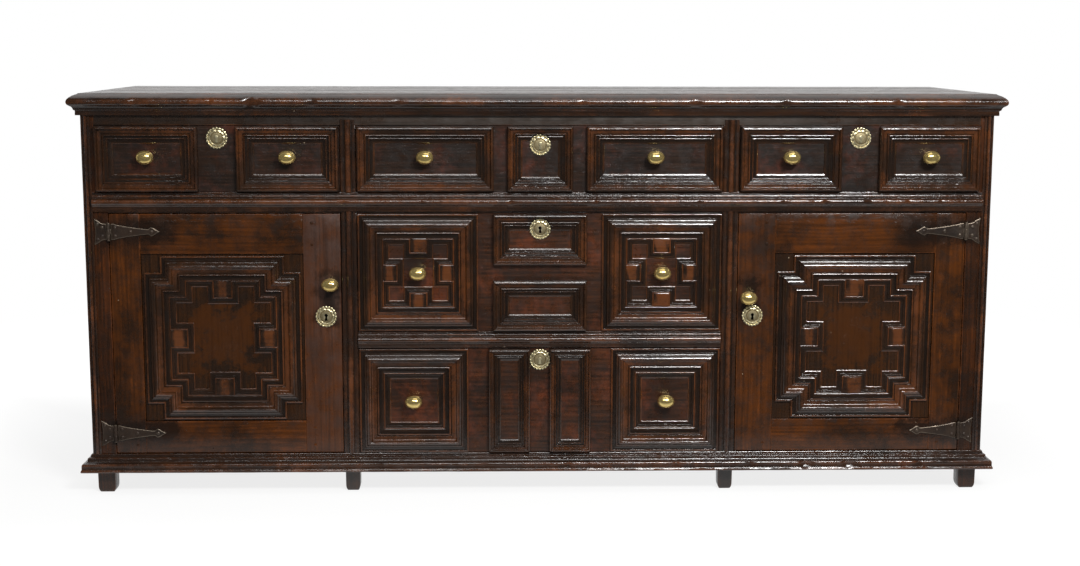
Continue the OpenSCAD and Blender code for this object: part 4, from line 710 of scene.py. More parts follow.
def taper(ob, foot):
    """Cuts a post across at the heights where its foot changes, then draws the foot in, its end worn round."""
    heights = [0, foot_wear, 2*foot_wear, 3*foot_wear, taper_end - foot_slope, taper_end]
    half_widths = [foot/2 - foot_wear, foot/2 - 0.4*foot_wear, foot/2 - 0.12*foot_wear, foot/2, foot/2 + 0.3]
    with editing(ob):
        for z in heights[1:]:
            bpy.ops.mesh.select_all(action="SELECT")
            bpy.ops.mesh.bisect(plane_co=(0, 0, z*MM), plane_no=(0, 0, 1))
    co = coordinates(ob)
    low, high = co.min(axis=0), co.max(axis=0)
    middle = (low + high)/2
    for i in (0, 1):
        half = (high[i] - low[i])/2
        drawn = np.interp(co[:, 2]/MM, heights, half_widths + [half/MM])*MM/half
        co[:, i] = middle[i] + (co[:, i] - middle[i])*drawn
    ob.data.vertices.foreach_set("co", co.ravel())
    return ob


bolt_room = 11.5
bolt_play = 0.4


def cut_away(cutter, *obs):
    """Cuts a tool's form out of each object, and puts the tool away."""
    for ob in obs:
        modify(ob, "BOOLEAN", object=cutter, operation="DIFFERENCE", solver="MANIFOLD")
    bpy.data.objects.remove(cutter)


def mortise(ob, bolt, way):
    """Chops the room for a lock's shot bolt into a post or a rail."""
    low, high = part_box(bolt)
    shot = Vector(way)*bolt_room*MM
    start = Vector([min(low[i], low[i] + shot[i]) - bolt_play*MM for i in range(3)])
    end = Vector([max(high[i], high[i] + shot[i]) + bolt_play*MM for i in range(3)])
    cut_away(billet(start, end), ob)


# frame oak's cast colour is the tint of the top rail's painted reflection.
frame_oak = oak("frame oak", (28, 18, 11), (42, 26, 15), (58, 35, 19), (84, 48, 24),
                black_brown, wear="arris", roughness=(0.16, 0.3), bump=0.3, cast=(60, 53, 47))
hinge_heights = (door_low.z/MM + 44, door_high.z/MM - 38)
hinge_stains = [((door_low.x + door_high.x)/2/MM + 190, z, 62, 9) for z in hinge_heights]
post_oak = oak("corner post oak", (40, 22, 10), (60, 31, 12), (84, 42, 14), (88, 46, 20),
               (25, 16, 10), wear="arris", roughness=(0.18, 0.32), shine=0.5, dirty=0.85, bump=0.3,
               stains=hinge_stains)
posts = []
for side in (-1, 1):
    posts.append(taper(mirror_board(x_door, 0, 0, x_side, post_d, z_top_open, 2, side, spacing=30), corner_foot))
    posts.append(mirror_board(x_upper, 0, z_top_open, x_side, post_d, z_boards, 2, side))
    posts.append(taper(mirror_board(x_door, depth - back_post_d, 0, x_side, depth, z_boards, 2, side, spacing=30),
                       corner_foot))
piece("corner_posts_of_the_frame", posts, "carcass", post_oak, "corner_posts")
short_posts = []
for side in (-1, 1):
    short_posts.append(taper(mirror_board(x_centre, 0, 0, x_post, post_d, z_mid - 0.1, 2, side, spacing=30),
                             inner_foot))
    mortise(short_posts[-1], ("left" if side < 0 else "right") + "_door_lock_bolt", (-side, 0, 0))
    short_posts.append(mirror_board(x_centre, 0, z_top_open + 0.1, x_post, post_d, z_top_rail - 0.1, 2, side))
piece("inner_posts_of_the_frame", short_posts, "carcass", frame_oak, "inner_posts")

# Front rails: bottom, drawer, middle and top rails of oak, tenoned into the posts.
# The middle and drawer rails carry a planed moulding along the face, nailed on.
tiny = 0.1
rails = [board(at(tiny - x_centre, 0, z0), at(x_centre - tiny, rail_d, z1), 0)
         for z0, z1 in ((z_bottom, z_lower), (z_drawer_rail, z_upper))]
for side in (-1, 1):
    rails.append(mirror_board(x_post + tiny, 0, z_bottom, x_door - tiny, rail_d, z_lower, 0, side))
rails.append(board(at(tiny - x_door, 0, z_mid), at(x_door - tiny, rail_d, z_top_open), 0))
mortise(rails[-1], "upper_deep_drawer_lock_bolt", (0, 0, 1))
rails.append(board(at(tiny - x_upper, 0, z_top_rail), at(x_upper - tiny, rail_d, z_boards), 0, uneven=1.0))
# The top rail's cast: a painted reflection, strongest a little right of the middle, weaker towards the ends.
store(rails[-1], "cast", np.interp(coordinates(rails[-1])[:, 0], (-0.95, -0.6, -0.2, 0.2, 0.5, 0.7, 0.95),
                                   (0.1, 0.3, 0.8, 1, 1, 0.45, 0.3)))
piece("rails_of_the_front", rails, "carcass", frame_oak, "front_rails")

corner_bead = 19
rail_step = [[0, 0, 0], [0, 0.42, 0.3], [0.24, 0.45, 0.2], [0.29, 0.5, 0.1], [0.35, 0.72, 0.2], [0.42, 0.92, 0.35],
             [0.48, 0.99, 0.5], [0.54, 1.0, 0.5], [0.61, 0.93, 0.5], [0.64, 0.82, 0.4], [0.68, 0.6, 0.3],
             [0.7, 0.5, 0.1], [0.78, 0.5, 0.2], [0.82, 0.495, 0.4], [0.86, 0.455, 0.5], [0.87, 0.3, 0.1],
             [0.88, 0.16, 0], [1.0, 0.16, 0.3], [1.0, 0, 0]]


mid_p, drawer_p = 14, 10
mid_run, drawer_run = (stick(name, rail_step, height, out, 2*x_side + 90, step=7, arris=0.3, uneven=0.6, dents=0.25)
                       for name, height, out in (("mid_run", z_top_open - 1 - z_mid - 4, mid_p),
                                                 ("drawer_run", z_upper - z_drawer_rail - 2, drawer_p)))
x_mid = x_side - corner_bead - tiny
front_out = (0, -1, 0)
mid_moulding = lay(mid_run, at(-x_mid, 0, z_mid + 4), at(x_mid, 0, z_mid + 4), front_out)
for x in (700, 741, 786, 520, 340, 120, -60, -250, -420, -700, 610, 860):
    knock(mid_moulding, at(x, -mid_p, z_mid + 24), chance.uniform(4, 9), chance.uniform(2, 4.5), (0, 0.9, 0.3))
drawer_moulding = lay(drawer_run, at(tiny - x_centre, 0, z_drawer_rail + 1),
                      at(x_centre - tiny, 0, z_drawer_rail + 1), front_out)
piece("rail_moulding_lengths", [mid_moulding, drawer_moulding], "carcass", nose_oak, "rail_mouldings")
discard(mid_run, drawer_run)

# Bead strips: thin upright mouldings nailed on the posts, a round bead between two flats.
# Those of the inner posts run up over the top rail and end there with a square cut.
inner_bead = 30
bead_out = 6


def bead_run(name, width):
    e = width/10
    arc = [[5*e + 2*e*math.cos(a), 0.3*bead_out + 0.7*bead_out*math.sin(a), 0.1 + 0.42*math.sin(a)]
           for a in (math.pi*(7 - i)/7 for i in range(8))]
    flat = [[0, 0, 0], [0, 0.5*bead_out, 0.3], [2*e, 0.5*bead_out, 0.2], [2*e, 0.25*bead_out, 0]]
    mirrored = [[width - q[0], q[1], q[2]] for q in reversed(flat)]
    return stick(name, flat + arc + mirrored, 1, 1, 640, step=10, arris=0.25, uneven=0.5, dents=0.2)


corner_run = bead_run("corner_run", corner_bead)
inner_run = bead_run("inner_run", inner_bead)
x_strip = (x_centre + x_post)/2 + inner_bead/2
rise = 12
strips = []
for right in (x_side, corner_bead - x_side):
    strips.append(lay(corner_run, at(right, 0, z_lower + tiny), at(right, 0, (z_lower + z_mid)/2), front_out, gap=0))
    strips.append(lay(corner_run, at(right, 0, (z_lower + z_mid)/2), at(right, 0, top_z - cornice_h - tiny), front_out,
                      gap=0))
for right in (x_strip, inner_bead - x_strip):
    strips.append(lay(inner_run, at(right, 0, z_lower + tiny), at(right, 0, z_mid + 4 - tiny), front_out, gap=0))
    strips.append(lay(inner_run, at(right, 0, z_top_open), at(right, 0, z_top_rail + rise), front_out, gap=0))
piece("bead_strips", strips, "carcass", nose_oak, "post_beads")
discard(corner_run, inner_run)

# Base moulding: the mitred oak moulding round the foot of the frame, knocked and split by feet and brooms.
# It stands out as far as the cornice.
base_h = (base_high.z - base_low.z)/MM
base_p = (base_high.x - planks_high.x)/MM
plinth = [[0, 0, 0], [0, 0.93, 0.4], [0.03, 0.98, 0.5], [0.07, 1.0, 0.5], [0.16, 0.945, 0.5], [0.17, 0.91, 0.2],
          [0.38, 0.9, 0.35], [0.41, 0.9, 0.5], [0.49, 0.85, 0.5], [0.51, 0.76, 0.3], [0.54, 0.6, 0.1],
          [0.59, 0.48, 0.1], [0.64, 0.44, 0.15], [0.78, 0.43, 0.2], [0.8, 0.41, 0.4], [0.82, 0.3, 0.1],
          [0.84, 0.2, 0.1], [0.95, 0.19, 0.2], [1.0, 0.15, 0.4], [1.0, 0, 0]]
base_run = stick("base_run", plinth, base_h, base_p, 2*x_side + 160, step=7, arris=0.5, uneven=1.1, dents=0.35)
base = round_the_carcass(base_run, base_low.z, carcass_d)
for x, size, deep in ((578, 13, 9), (590, 8, 6), (672, 12, 8), (684, 7, 7), (300, 8, 4), (-120, 7, 3), (-700, 9, 4),
                      (-350, 8, 3), (830, 9, 4), (60, 8, 4), (460, 9, 4)):
    knock(base[0], at(x, -base_p, z_bottom + 0.3*base_h), size, 0.8*deep, (0, 0.9, -0.1))
piece("base_lengths", base, "carcass", nose_oak, "base_moulding")
discard(base_run)

# Ends and back: oak rails and muntins tenoned between the posts, fielded panels in their grooves, pegged.
# The back is closed by upright sawn boards nailed to its rails, never polished.
frame_t = 26
muntin_w = 60
y_back_post = depth - back_post_d
y_mid = (post_d + y_back_post)/2
back_board_t = 12
end_rails = ((z_bottom, z_lower), (z_mid, z_top_open), (z_top_rail, z_boards))
end_bays = ((z_lower, z_mid), (z_top_open, z_top_rail))
end_oak = oak("end oak", (36, 21, 12), (54, 31, 16), (74, 42, 21), (96, 56, 28), black_brown,
              wear="arris", roughness=(0.26, 0.46))
end_frame = []
end_fields = []
for side in (-1, 1):
    for z0, z1 in end_rails:
        end_frame.append(mirror_board(x_upper, post_d + tiny, z0, x_side, y_back_post - tiny, z1, 1, side))
    for z0, z1 in end_bays:
        end_frame.append(mirror_board(x_upper, y_mid - muntin_w/2, z0 + tiny, x_side, y_mid + muntin_w/2, z1 - tiny,
                                      2, side))
        for y0, y1 in ((post_d, y_mid - muntin_w/2), (y_mid + muntin_w/2, y_back_post)):
            end_fields.append(mirror_board(x_side - frame_t/2 - 4, y0 + gap, z0 + gap, x_side - 4, y1 - gap,
                                           z1 - gap, 2, side, arris=3.5, uneven=1.0))
for z0, z1 in end_rails:
    end_frame.append(board(at(tiny - x_door, depth - back_board_t - frame_t, z0),
                           at(x_door - tiny, depth - back_board_t, z1), 0))
piece("end_and_back_frames", end_frame, "carcass", end_oak, "end_and_back_rails")
piece("end_panel_boards", end_fields, "carcass", end_oak, "end_panels")
dry_oak = oak("dry sawn oak", (92, 66, 43), (124, 92, 62), (150, 115, 80), (165, 130, 92),
              (60, 46, 34), wear="arris", roughness=(0.6, 0.8), shine=0.3, bump=0.9)
backs_n = 8
back_w = 2*(x_door - 0.2)/backs_n
backs = [board(at(i*back_w - x_door + 0.2 + (0.8 if i else 0), depth - back_board_t, z_bottom),
               at((i + 1)*back_w - x_door + 0.2, depth, z_boards), 2, arris=1.0, uneven=1.6) for i in range(backs_n)]
piece("sawn_back_boards", backs, "carcass", dry_oak, "back_boards")

# Inside: floor boards, partitions, cross rails, runners and bearers stay as the frame gives them.
# Dry unpolished oak, and the pegs of the end frames, cut off nearly flush.
inside_along = oak("dry oak front to back", (92, 66, 43), (122, 90, 60), (146, 112, 78),
                   (160, 126, 90), (58, 45, 33), grain="Y", roughness=(0.6, 0.8), shine=0.3, bump=0.8)
dress(inside_along, ["floor_boards", "partitions", "cross_rails", "drawer_runners"])
peg_oak = oak("peg oak", (26, 17, 12), (38, 24, 15), (50, 31, 18), (70, 42, 24), black_brown,
              grain="X", wear=0.2)
dress(peg_oak, ["frame_pegs"])

# Drawers: an oak front lapped over dovetailed sides, hung on runners in grooves.
# The front's grain runs along it; the box is dry unpolished oak.
top_names = ("top_left", "top_centre", "top_right")
deep_names = ("upper_deep", "lower_deep")
drawer_names = top_names + deep_names
dark_front_oak = oak("top drawer oak", (27, 17, 11), (39, 24, 14), (54, 31, 17), (78, 34, 17),
                     black_brown, grain="X", wear=0.3, roughness=(0.28, 0.42), shine=0.6, dirty=0.8, bump=0.3)
front_oak = oak("deep drawer oak", (38, 22, 12), (58, 32, 16), (78, 42, 19), (96, 44, 18),
                black_brown, grain="X", wear=0.32, roughness=(0.24, 0.4), shine=0.6, dirty=0.75, bump=0.3)
dress(dark_front_oak, [d + "_drawer_front" for d in top_names])
dress(front_oak, [d + "_drawer_front" for d in deep_names])
dress(inside_along, [d + "_drawer_box" for d in drawer_names])

# Applied mouldings of the drawers: lengths of two oak mouldings mitred round the panels, glued and pinned.
# A small inner moulding runs round square blocks in the big panels; near black in the hollows, from dirt and painted
# shade, rubbed on the beads.
edge_margin = 1.0
small_w, small_p = 38, 14
keyhole_mould_w = 32
stack_mould_w = 36
tall_mould_w = 27
big_w, big_p = 52, 17
inner_w, inner_p = 15, 7
block_w, block_d = 34, 30
side_panel_w = 217
centre_panel_w = 291
keyhole_panel_w = 140
block_panel_w = 257
stack_panel_w = 202
stack_strip = 34
square_panel_w = 235
tall_panel_w = 90
tall_strip = 42
edge_points = [[0, 0, 0.1], [0, 0.74, 0.1], [0.02, 0.86, 0.2], [0.07, 0.93, 0.4], [0.12, 0.985, 0.5],
               [0.14, 1, 0.5], [0.15, 0.97, 0.4], [0.17, 0.8, 0.3], [0.2, 0.6, 0.4], [0.22, 0.53, 0.5],
               [0.3, 0.51, 0.5], [0.41, 0.5, 0.3], [0.415, 0.44, 0], [0.435, 0.52, 0.2], [0.46, 0.585, 0.4],
               [0.5, 0.645, 0.5], [0.52, 0.65, 0.4], [0.525, 0.44, 0], [0.64, 0.43, 0.05], [0.65, 0.36, 0],
               [0.68, 0.4, 0.4], [0.715, 0.405, 0.4], [0.72, 0.2, 0], [0.86, 0.2, 0.05], [0.97, 0.09, 0.5],
               [1, 0.04, 0.2], [1, 0, 0]]
big_points = [[0, 0, 0.2], [0, 0.35, 0.6], [0.06, 0.38, 0.6], [0.07, 0.3, 0], [0.195, 0.31, 0.05], [0.205, 0.5, 0],
              [0.225, 0.58, 0.2], [0.255, 0.63, 0.4], [0.285, 0.64, 0.2], [0.29, 0.7, 0.05], [0.31, 0.8, 0.15],
              [0.345, 0.9, 0.3], [0.4, 0.98, 0.4], [0.435, 1, 0.5], [0.465, 0.95, 0.5], [0.485, 0.83, 0.4],
              [0.51, 0.64, 0.5], [0.53, 0.54, 0.6], [0.56, 0.5, 0.6], [0.7, 0.5, 0.45], [0.71, 0.44, 0],
              [0.725, 0.51, 0.2], [0.775, 0.6, 0.6], [0.8, 0.61, 0.4], [0.805, 0.38, 0], [0.92, 0.38, 0.05],
              [0.97, 0.37, 0.3], [1, 0.33, 0.3], [1, 0, 0]]
inner_points = [[0, 0, 0], [0, 0.9, 0.6], [0.07, 1, 0.8], [0.17, 1, 0.4], [0.2, 0.78, 0], [0.3, 0.78, 0.05],
                [0.42, 0.78, 0.3], [0.44, 0.4, 0], [0.56, 0.38, 0.05], [0.84, 0.38, 0.3], [0.94, 0.28, 0.8],
                [1, 0.2, 0.5], [1, 0, 0]]


def panel_stick(name, points, width, out):
    return stick(name, points, width, out, 620, step=9, arris=0.3, uneven=0.35, dents=0.25)


small_run = panel_stick("small_run", edge_points, small_w, small_p)
keyhole_run = panel_stick("keyhole_run", edge_points, keyhole_mould_w, small_p)
stack_run = panel_stick("stack_run", edge_points, stack_mould_w, small_p)
tall_run = panel_stick("tall_run", edge_points, tall_mould_w, small_p)
big_run = panel_stick("big_run", big_points, big_w, big_p)
inner_run = panel_stick("inner_moulding_run", inner_points, inner_w, inner_p)


def rectangle(x, z, w, h):
    """Corners of a panel, anticlockwise from the lower left."""
    return [(x - w/2, z - h/2), (x + w/2, z - h/2), (x + w/2, z + h/2), (x - w/2, z + h/2)]


def round_blocks(x, z, w, h, step, wide, deep):
    """Outline that passes round a block in the middle of each side, with a step at each corner."""
    a, b, c = w/2, h/2, wide/2

    def corner(sx, sz):
        steps = [(sx*a, sz*(b - step)), (sx*(a - step), sz*(b - step)), (sx*(a - step), sz*b)]
        if not step:
            return [(sx*a, sz*b)]
        return steps if sx*sz > 0 else steps[::-1]

    points = [(-c, -b), (-c, deep - b), (c, deep - b), (c, -b)] + corner(1, -1)
    points += [(a, -c), (a - deep, -c), (a - deep, c), (a, c)] + corner(1, 1)
    points += [(c, b), (c, b - deep), (-c, b - deep), (-c, b)] + corner(-1, 1)
    points += [(-a, c), (deep - a, c), (deep - a, -c), (-a, -c)] + corner(-1, -1)
    return [(x + p, z + q) for p, q in points]


def mitred(run, outline, y=0.0, gap=mitre_gap):
    """Lengths of a moulding round an outline on the face, cut at each corner along its bisector."""
    points = [at(p[0], y, p[1]) for p in outline]
    n = len(points)
    ways = [(points[(i + 1) % n] - points[i]).normalized() for i in range(n)]
    return [lay(run, points[i], points[(i + 1) % n], front_out, ways[i - 1] + ways[i], ways[i] + ways[(i + 1) % n],
                gap) for i in range(n)]


def blocks(x, z, w, h, wide, deep, y=0.0):
    """The four flat blocks of a panel, cut from one thin slip of oak."""
    c = wide/2 - tiny
    spots = [(-c, -h/2, c, deep - h/2 - tiny), (-c, h/2 - deep + tiny, c, h/2),
             (-w/2, -c, deep - w/2 - tiny, c), (w/2 - deep + tiny, -c, w/2, c)]
    made = []
    for x0, z0, x1, z1 in spots:
        ob = board(at(x + x0, y - inner_p, z + z0), at(x + x1, y, z + z1), 0, arris=0.7, uneven=0.2)
        with editing(ob):
            pick(ob, "FACE", lambda f: f.normal.y < -0.9)
            for inward in (0.9, 0.7):
                bpy.ops.mesh.inset(thickness=inward*MM, depth=0)
        co = coordinates(ob)
        low, high = co.min(axis=0), co.max(axis=0)
        rim = np.minimum(co - low, high - co)[:, [0, 2]].min(axis=1)
        store(ob, "wear", np.where(rim < 0.85*MM, 0.8, 0.07))
        made.append(ob)
    return made


def seat(lengths, drawer):
    """Cuts a round flat seat for a drawer's escutcheon through each length of moulding that it lies over."""
    low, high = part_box(drawer + "_drawer_escutcheon")
    middle = (low + high)/2
    borer = fresh(bpy.ops.mesh.primitive_cylinder_add, vertices=64, radius=seat_r*MM, depth=60*MM,
                  location=(middle.x, face - 28*MM, middle.z), rotation=(math.pi/2, 0, 0))
    under = []
    for length in lengths:
        low, high = corners(length)
        if all(low[i] < middle[i] + seat_r*MM and high[i] > middle[i] - seat_r*MM for i in (0, 2)):
            under.append(length)
    cut_away(borer, *under)


def middle_of(node):
    """How far a node's middle lies from the dresser's, and how high, in millimetres."""
    low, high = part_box(node)
    return (low.x + high.x)/2/MM, (low.z + high.z)/2/MM


def opening(drawer):
    """Middle and moulded height of a drawer's front, in millimetres."""
    low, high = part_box(drawer + "_drawer_front")
    return *middle_of(drawer + "_drawer_front"), (high.z - low.z)/MM - 2*edge_margin


def apply_mouldings(drawer, lengths):
    piece(drawer + "_moulded_panels", lengths, drawer + "_drawer", moulding_oak,
          drawer + "_drawer_mouldings")


seat_r = 24
side_shift = (x_upper - x_post - 2*gap)/2 - edge_margin - side_panel_w/2
for drawer in ("top_left", "top_right"):
    x, z, h = opening(drawer)
    lengths = []
    for s in (-1, 1):
        lengths += mitred(small_run, rectangle(x + s*side_shift, z, side_panel_w, h))
    apply_mouldings(drawer, lengths)

x, z, h = opening("top_centre")
centre_x = x_centre - gap - edge_margin - centre_panel_w/2
lengths = mitred(small_run, rectangle(-centre_x, z, centre_panel_w, h))
lengths += mitred(small_run, rectangle(centre_x, z, centre_panel_w, h))
lengths += mitred(keyhole_run, rectangle(0, z, keyhole_panel_w, h))
seat(lengths, "top_centre")
apply_mouldings("top_centre", lengths)

x, z, h = opening("upper_deep")
block_x = x_centre - gap - edge_margin - block_panel_w/2
inside_w = block_panel_w - 2*big_w - 0.2
inside_h = h - 2*big_w - 0.2
small_h = (h - stack_strip)/2
lengths = []
for s in (-1, 1):
    lengths += mitred(big_run, rectangle(s*block_x, z, block_panel_w, h))
    lengths += mitred(inner_run, round_blocks(s*block_x, z, inside_w, inside_h, 0, block_w, block_d), gap=0.1)
    lengths += blocks(s*block_x, z, inside_w, inside_h, block_w, block_d)
    lengths += mitred(stack_run, rectangle(0, z + s*(h - small_h)/2, stack_panel_w, small_h))
seat(lengths, "upper_deep")
apply_mouldings("upper_deep", lengths)

x, z, h = opening("lower_deep")
square_x = x_centre - gap - edge_margin - square_panel_w/2
lengths = []
for s in (-1, 1):
    lengths += mitred(big_run, rectangle(s*square_x, z, square_panel_w, h))
    lengths += mitred(inner_run, rectangle(s*square_x, z, square_panel_w - 2*big_w - 0.2, h - 2*big_w - 0.2))
    lengths += mitred(tall_run, rectangle(s*(tall_panel_w + tall_strip)/2, z, tall_panel_w, h))
seat(lengths, "lower_deep")
apply_mouldings("lower_deep", lengths)

# Doors: two stiles and two rails of oak, tenoned and pegged, round a panel in grooves.
# On the panel a stepped cross of mitred moulding holds four blocks; the panel's middle is rubbed red-brown, and near
# the moulding it stays darker, painted shade as well as dirt.
lock_stile = 80
hinge_stile = 64
door_top = 86
door_bottom = 70
door_t = 26
door_tenon = 38
panel_back = 4
cross_step = 35
door_block_w, door_block_d = 38, 37
keyhole_r = 3.5
keyhole_l = 15
door_x0, door_x1 = door_low.x/MM, door_high.x/MM
door_z0, door_z1 = door_low.z/MM, door_high.z/MM
knob_stain = (door_x0 + 26, 425, 4, 34)
door_oak = oak("door oak", (58, 30, 9), (76, 39, 10), (96, 49, 12), (94, 50, 18),
               (27, 17, 9), wear="arris", roughness=(0.18, 0.32), shine=0.5, dirty=0.9, bump=0.28,
               cast=(62, 38, 27), stains=hinge_stains + [knob_stain])

keyhole_up = 2.2


def keyhole_borer(place, depth):
    """A round end with a slot below it, as a solid for cutting a keyhole."""
    round_end = fresh(bpy.ops.mesh.primitive_cylinder_add, vertices=24, radius=keyhole_r*MM, depth=depth*MM,
                      location=place, rotation=(math.pi/2, 0, 0))
    slot_h = keyhole_l - keyhole_r
    slot = fresh(bpy.ops.mesh.primitive_cube_add, size=1, location=place - Vector((0, 0, slot_h/2*MM)))
    slot.scale = (keyhole_r*0.88*MM, depth*MM*0.98, slot_h*MM)
    bpy.ops.object.transform_apply(location=False, rotation=False, scale=True)
    with editing(slot):
        pick(slot, "FACE", lambda f: f.normal.z < -0.5)
        bpy.ops.transform.resize(value=(2.0, 1, 1))
    modify(round_end, "BOOLEAN", object=slot, operation="UNION", solver="MANIFOLD")
    bpy.data.objects.remove(slot)
    return round_end


def flat_borer(depth, height=0.0):
    """A borer that runs up through a plate lying flat, its middle at a height."""
    borer = keyhole_borer(Vector((0, 0, 0)), depth)
    borer.rotation_euler = (0, 0, 0)
    borer.location = (0, keyhole_up*MM, height*MM)
    settle(borer)
    return borer


def frame_peg(x, z, radius, length, proud):
    """A riven oak peg through a joint, its end pared off a little proud of the face."""
    ob = fresh(bpy.ops.mesh.primitive_cylinder_add, vertices=9, radius=radius*MM, depth=length*MM,
               location=at(x, length/2 - proud, z), rotation=(math.pi/2, 0, 0))
    settle(ob)
    with editing(ob):
        pick(ob, "FACE", lambda f: abs(f.normal.y) > 0.9)
        bpy.ops.mesh.inset(thickness=radius*0.3*MM, depth=0.25*MM)
    co = coordinates(ob)
    store(ob, "grain", co[:, [1, 0, 2]] + random_shift())
    store(ob, "reach", np.zeros((len(co), 3)))
    store(ob, "half", np.ones((len(co), 3)))
    return ob


for side, word in ((-1, "left"), (1, "right")):
    body = word + "_door"
    hole_x0, hole_x1 = door_x0 + lock_stile, door_x1 - hinge_stile
    hole_z0, hole_z1 = door_z0 + door_bottom, door_z1 - door_top
    lock_part = mirror_board(door_x0, 0, door_z0, hole_x0, door_t, door_z1, 2, side, uneven=0.35)
    hinge_part = mirror_board(hole_x1, 0, door_z0, door_x1, door_t, door_z1, 2, side, uneven=0.35)
    key_x, key_z = middle_of(body + "_escutcheon")
    cut_away(keyhole_borer(at(key_x, door_t/2, key_z + keyhole_up), door_t + 10), lock_part)
    store_board(lock_part, *corners(lock_part), 2)
    height = coordinates(lock_part)[:, 2]
    store(lock_part, "cast", np.interp(height, (door_low.z, door_high.z), (0.45, 0.95) if side < 0 else (0, 0.2)))
    parts = [lock_part, hinge_part]
    for z0, z1 in ((door_z0, hole_z0), (hole_z1, door_z1)):
        parts.append(mirror_board(hole_x0 + tiny, 0, z0, hole_x1 - tiny, door_t, z1, 0, side, uneven=0.35))
        for x in (hole_x0 - door_tenon/2, hole_x1 + door_tenon/2):
            for s in (-1, 1):
                parts.append(frame_peg(side*x, (z0 + z1)/2 + s*(z1 - z0)*0.27, 3.5, door_t + 0.6, 0.3))
    piece(body + "_joined_frame", parts, body, door_oak, body + "_frame")
    cross_low, cross_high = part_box(body + "_mouldings")
    cx, cz = middle_of(body + "_mouldings")
    cross_w, cross_h = (cross_high.x - cross_low.x)/MM, (cross_high.z - cross_low.z)/MM
    a, b, s = cross_w/2, cross_h/2, cross_step
    cross = [(s - a, -b), (a - s, -b), (a - s, s - b), (a, s - b), (a, b - s), (a - s, b - s),
             (a - s, b), (s - a, b), (s - a, b - s), (-a, b - s), (-a, s - b), (s - a, s - b)]
    lengths = mitred(big_run, [(cx + p, cz + q) for p, q in cross], panel_back)
    inside_w, inside_h = cross_w - 2*big_w, cross_h - 2*big_w
    lengths += mitred(inner_run, round_blocks(cx, cz, inside_w, inside_h, s, door_block_w, door_block_d),
                      panel_back, 0.1)
    lengths += blocks(cx, cz, inside_w, inside_h, door_block_w, door_block_d, panel_back)
    piece(body + "_cross_moulding", lengths, body, moulding_oak, body + "_mouldings")
    # The panel's field: rubbed in the middle, darker near the moulding, painted shade as well as dirt.
    rubbed_middle_shaded_edges = ((cx*MM, 0, cz*MM), ((inside_w/2 - inner_w)*MM, 1, (inside_h/2 - inner_w)*MM))
    panel_oak = oak(word + " panel oak", (36, 21, 11), (50, 29, 13), (64, 36, 15), (54, 28, 8),
                    (26, 18, 12), grain="Z", roughness=(0.17, 0.3), shine=0.5, field=rubbed_middle_shaded_edges, bump=0.28)
    dress(panel_oak, [body + "_panel"])
discard(small_run, keyhole_run, stack_run, tall_run, big_run, inner_run)

# Brasses: cast egg-shaped knobs on turned necks, screwed through with a nut behind.
# Polished yellow, dulled a little in patches.
knob_l, knob_t, knob_reach = 37, 29, 34
neck_turning = ((0.6, 0.6), (1.6, 0.5), (1.5, 1.2), (0.6, 3.0), (-0.3, 2.2), (-1.2, 1.8), (-1.8, 1.8))


def brass(name, clean, tarnished, roughness, relief):
    material, tree, shader, position = blank_material(name)
    age = place_group(tree, polish, {"Position": calc3(tree, "MULTIPLY", position, (3.1, 3.1, 3.1))})
    hollow = calc(tree, "MULTIPLY", relief, calc(tree, "SUBTRACT", 1.0, stored(tree, "wear")))
    dull = calc(tree, "MAXIMUM", hollow, calc(tree, "MULTIPLY", age["Grime"], 0.35))
    gloss = calc(tree, "MULTIPLY_ADD", age["Gloss"], roughness[1] - roughness[0], roughness[0])
    finish_with(tree, shader, mix(tree, dull, clean, tarnished), calc(tree, "MULTIPLY_ADD", dull, 0.2, gloss),
                age["Height"], 0.06)
    shader["Metallic"].default_value = 0.88
    return material


knob_brass = brass("knob brass", tone(252, 224, 146), tone(200, 158, 84), (0.09, 0.2), 0.0)
plate_brass = brass("escutcheon brass", tone(255, 244, 200), tone(108, 84, 40), (0.26, 0.4), 0.85)


def step_in(inward, *way):
    """Insets what is selected and moves it, in millimetres."""
    bpy.ops.mesh.inset(thickness=inward*MM, depth=0)
    bpy.ops.transform.translate(value=[v*MM for v in way])


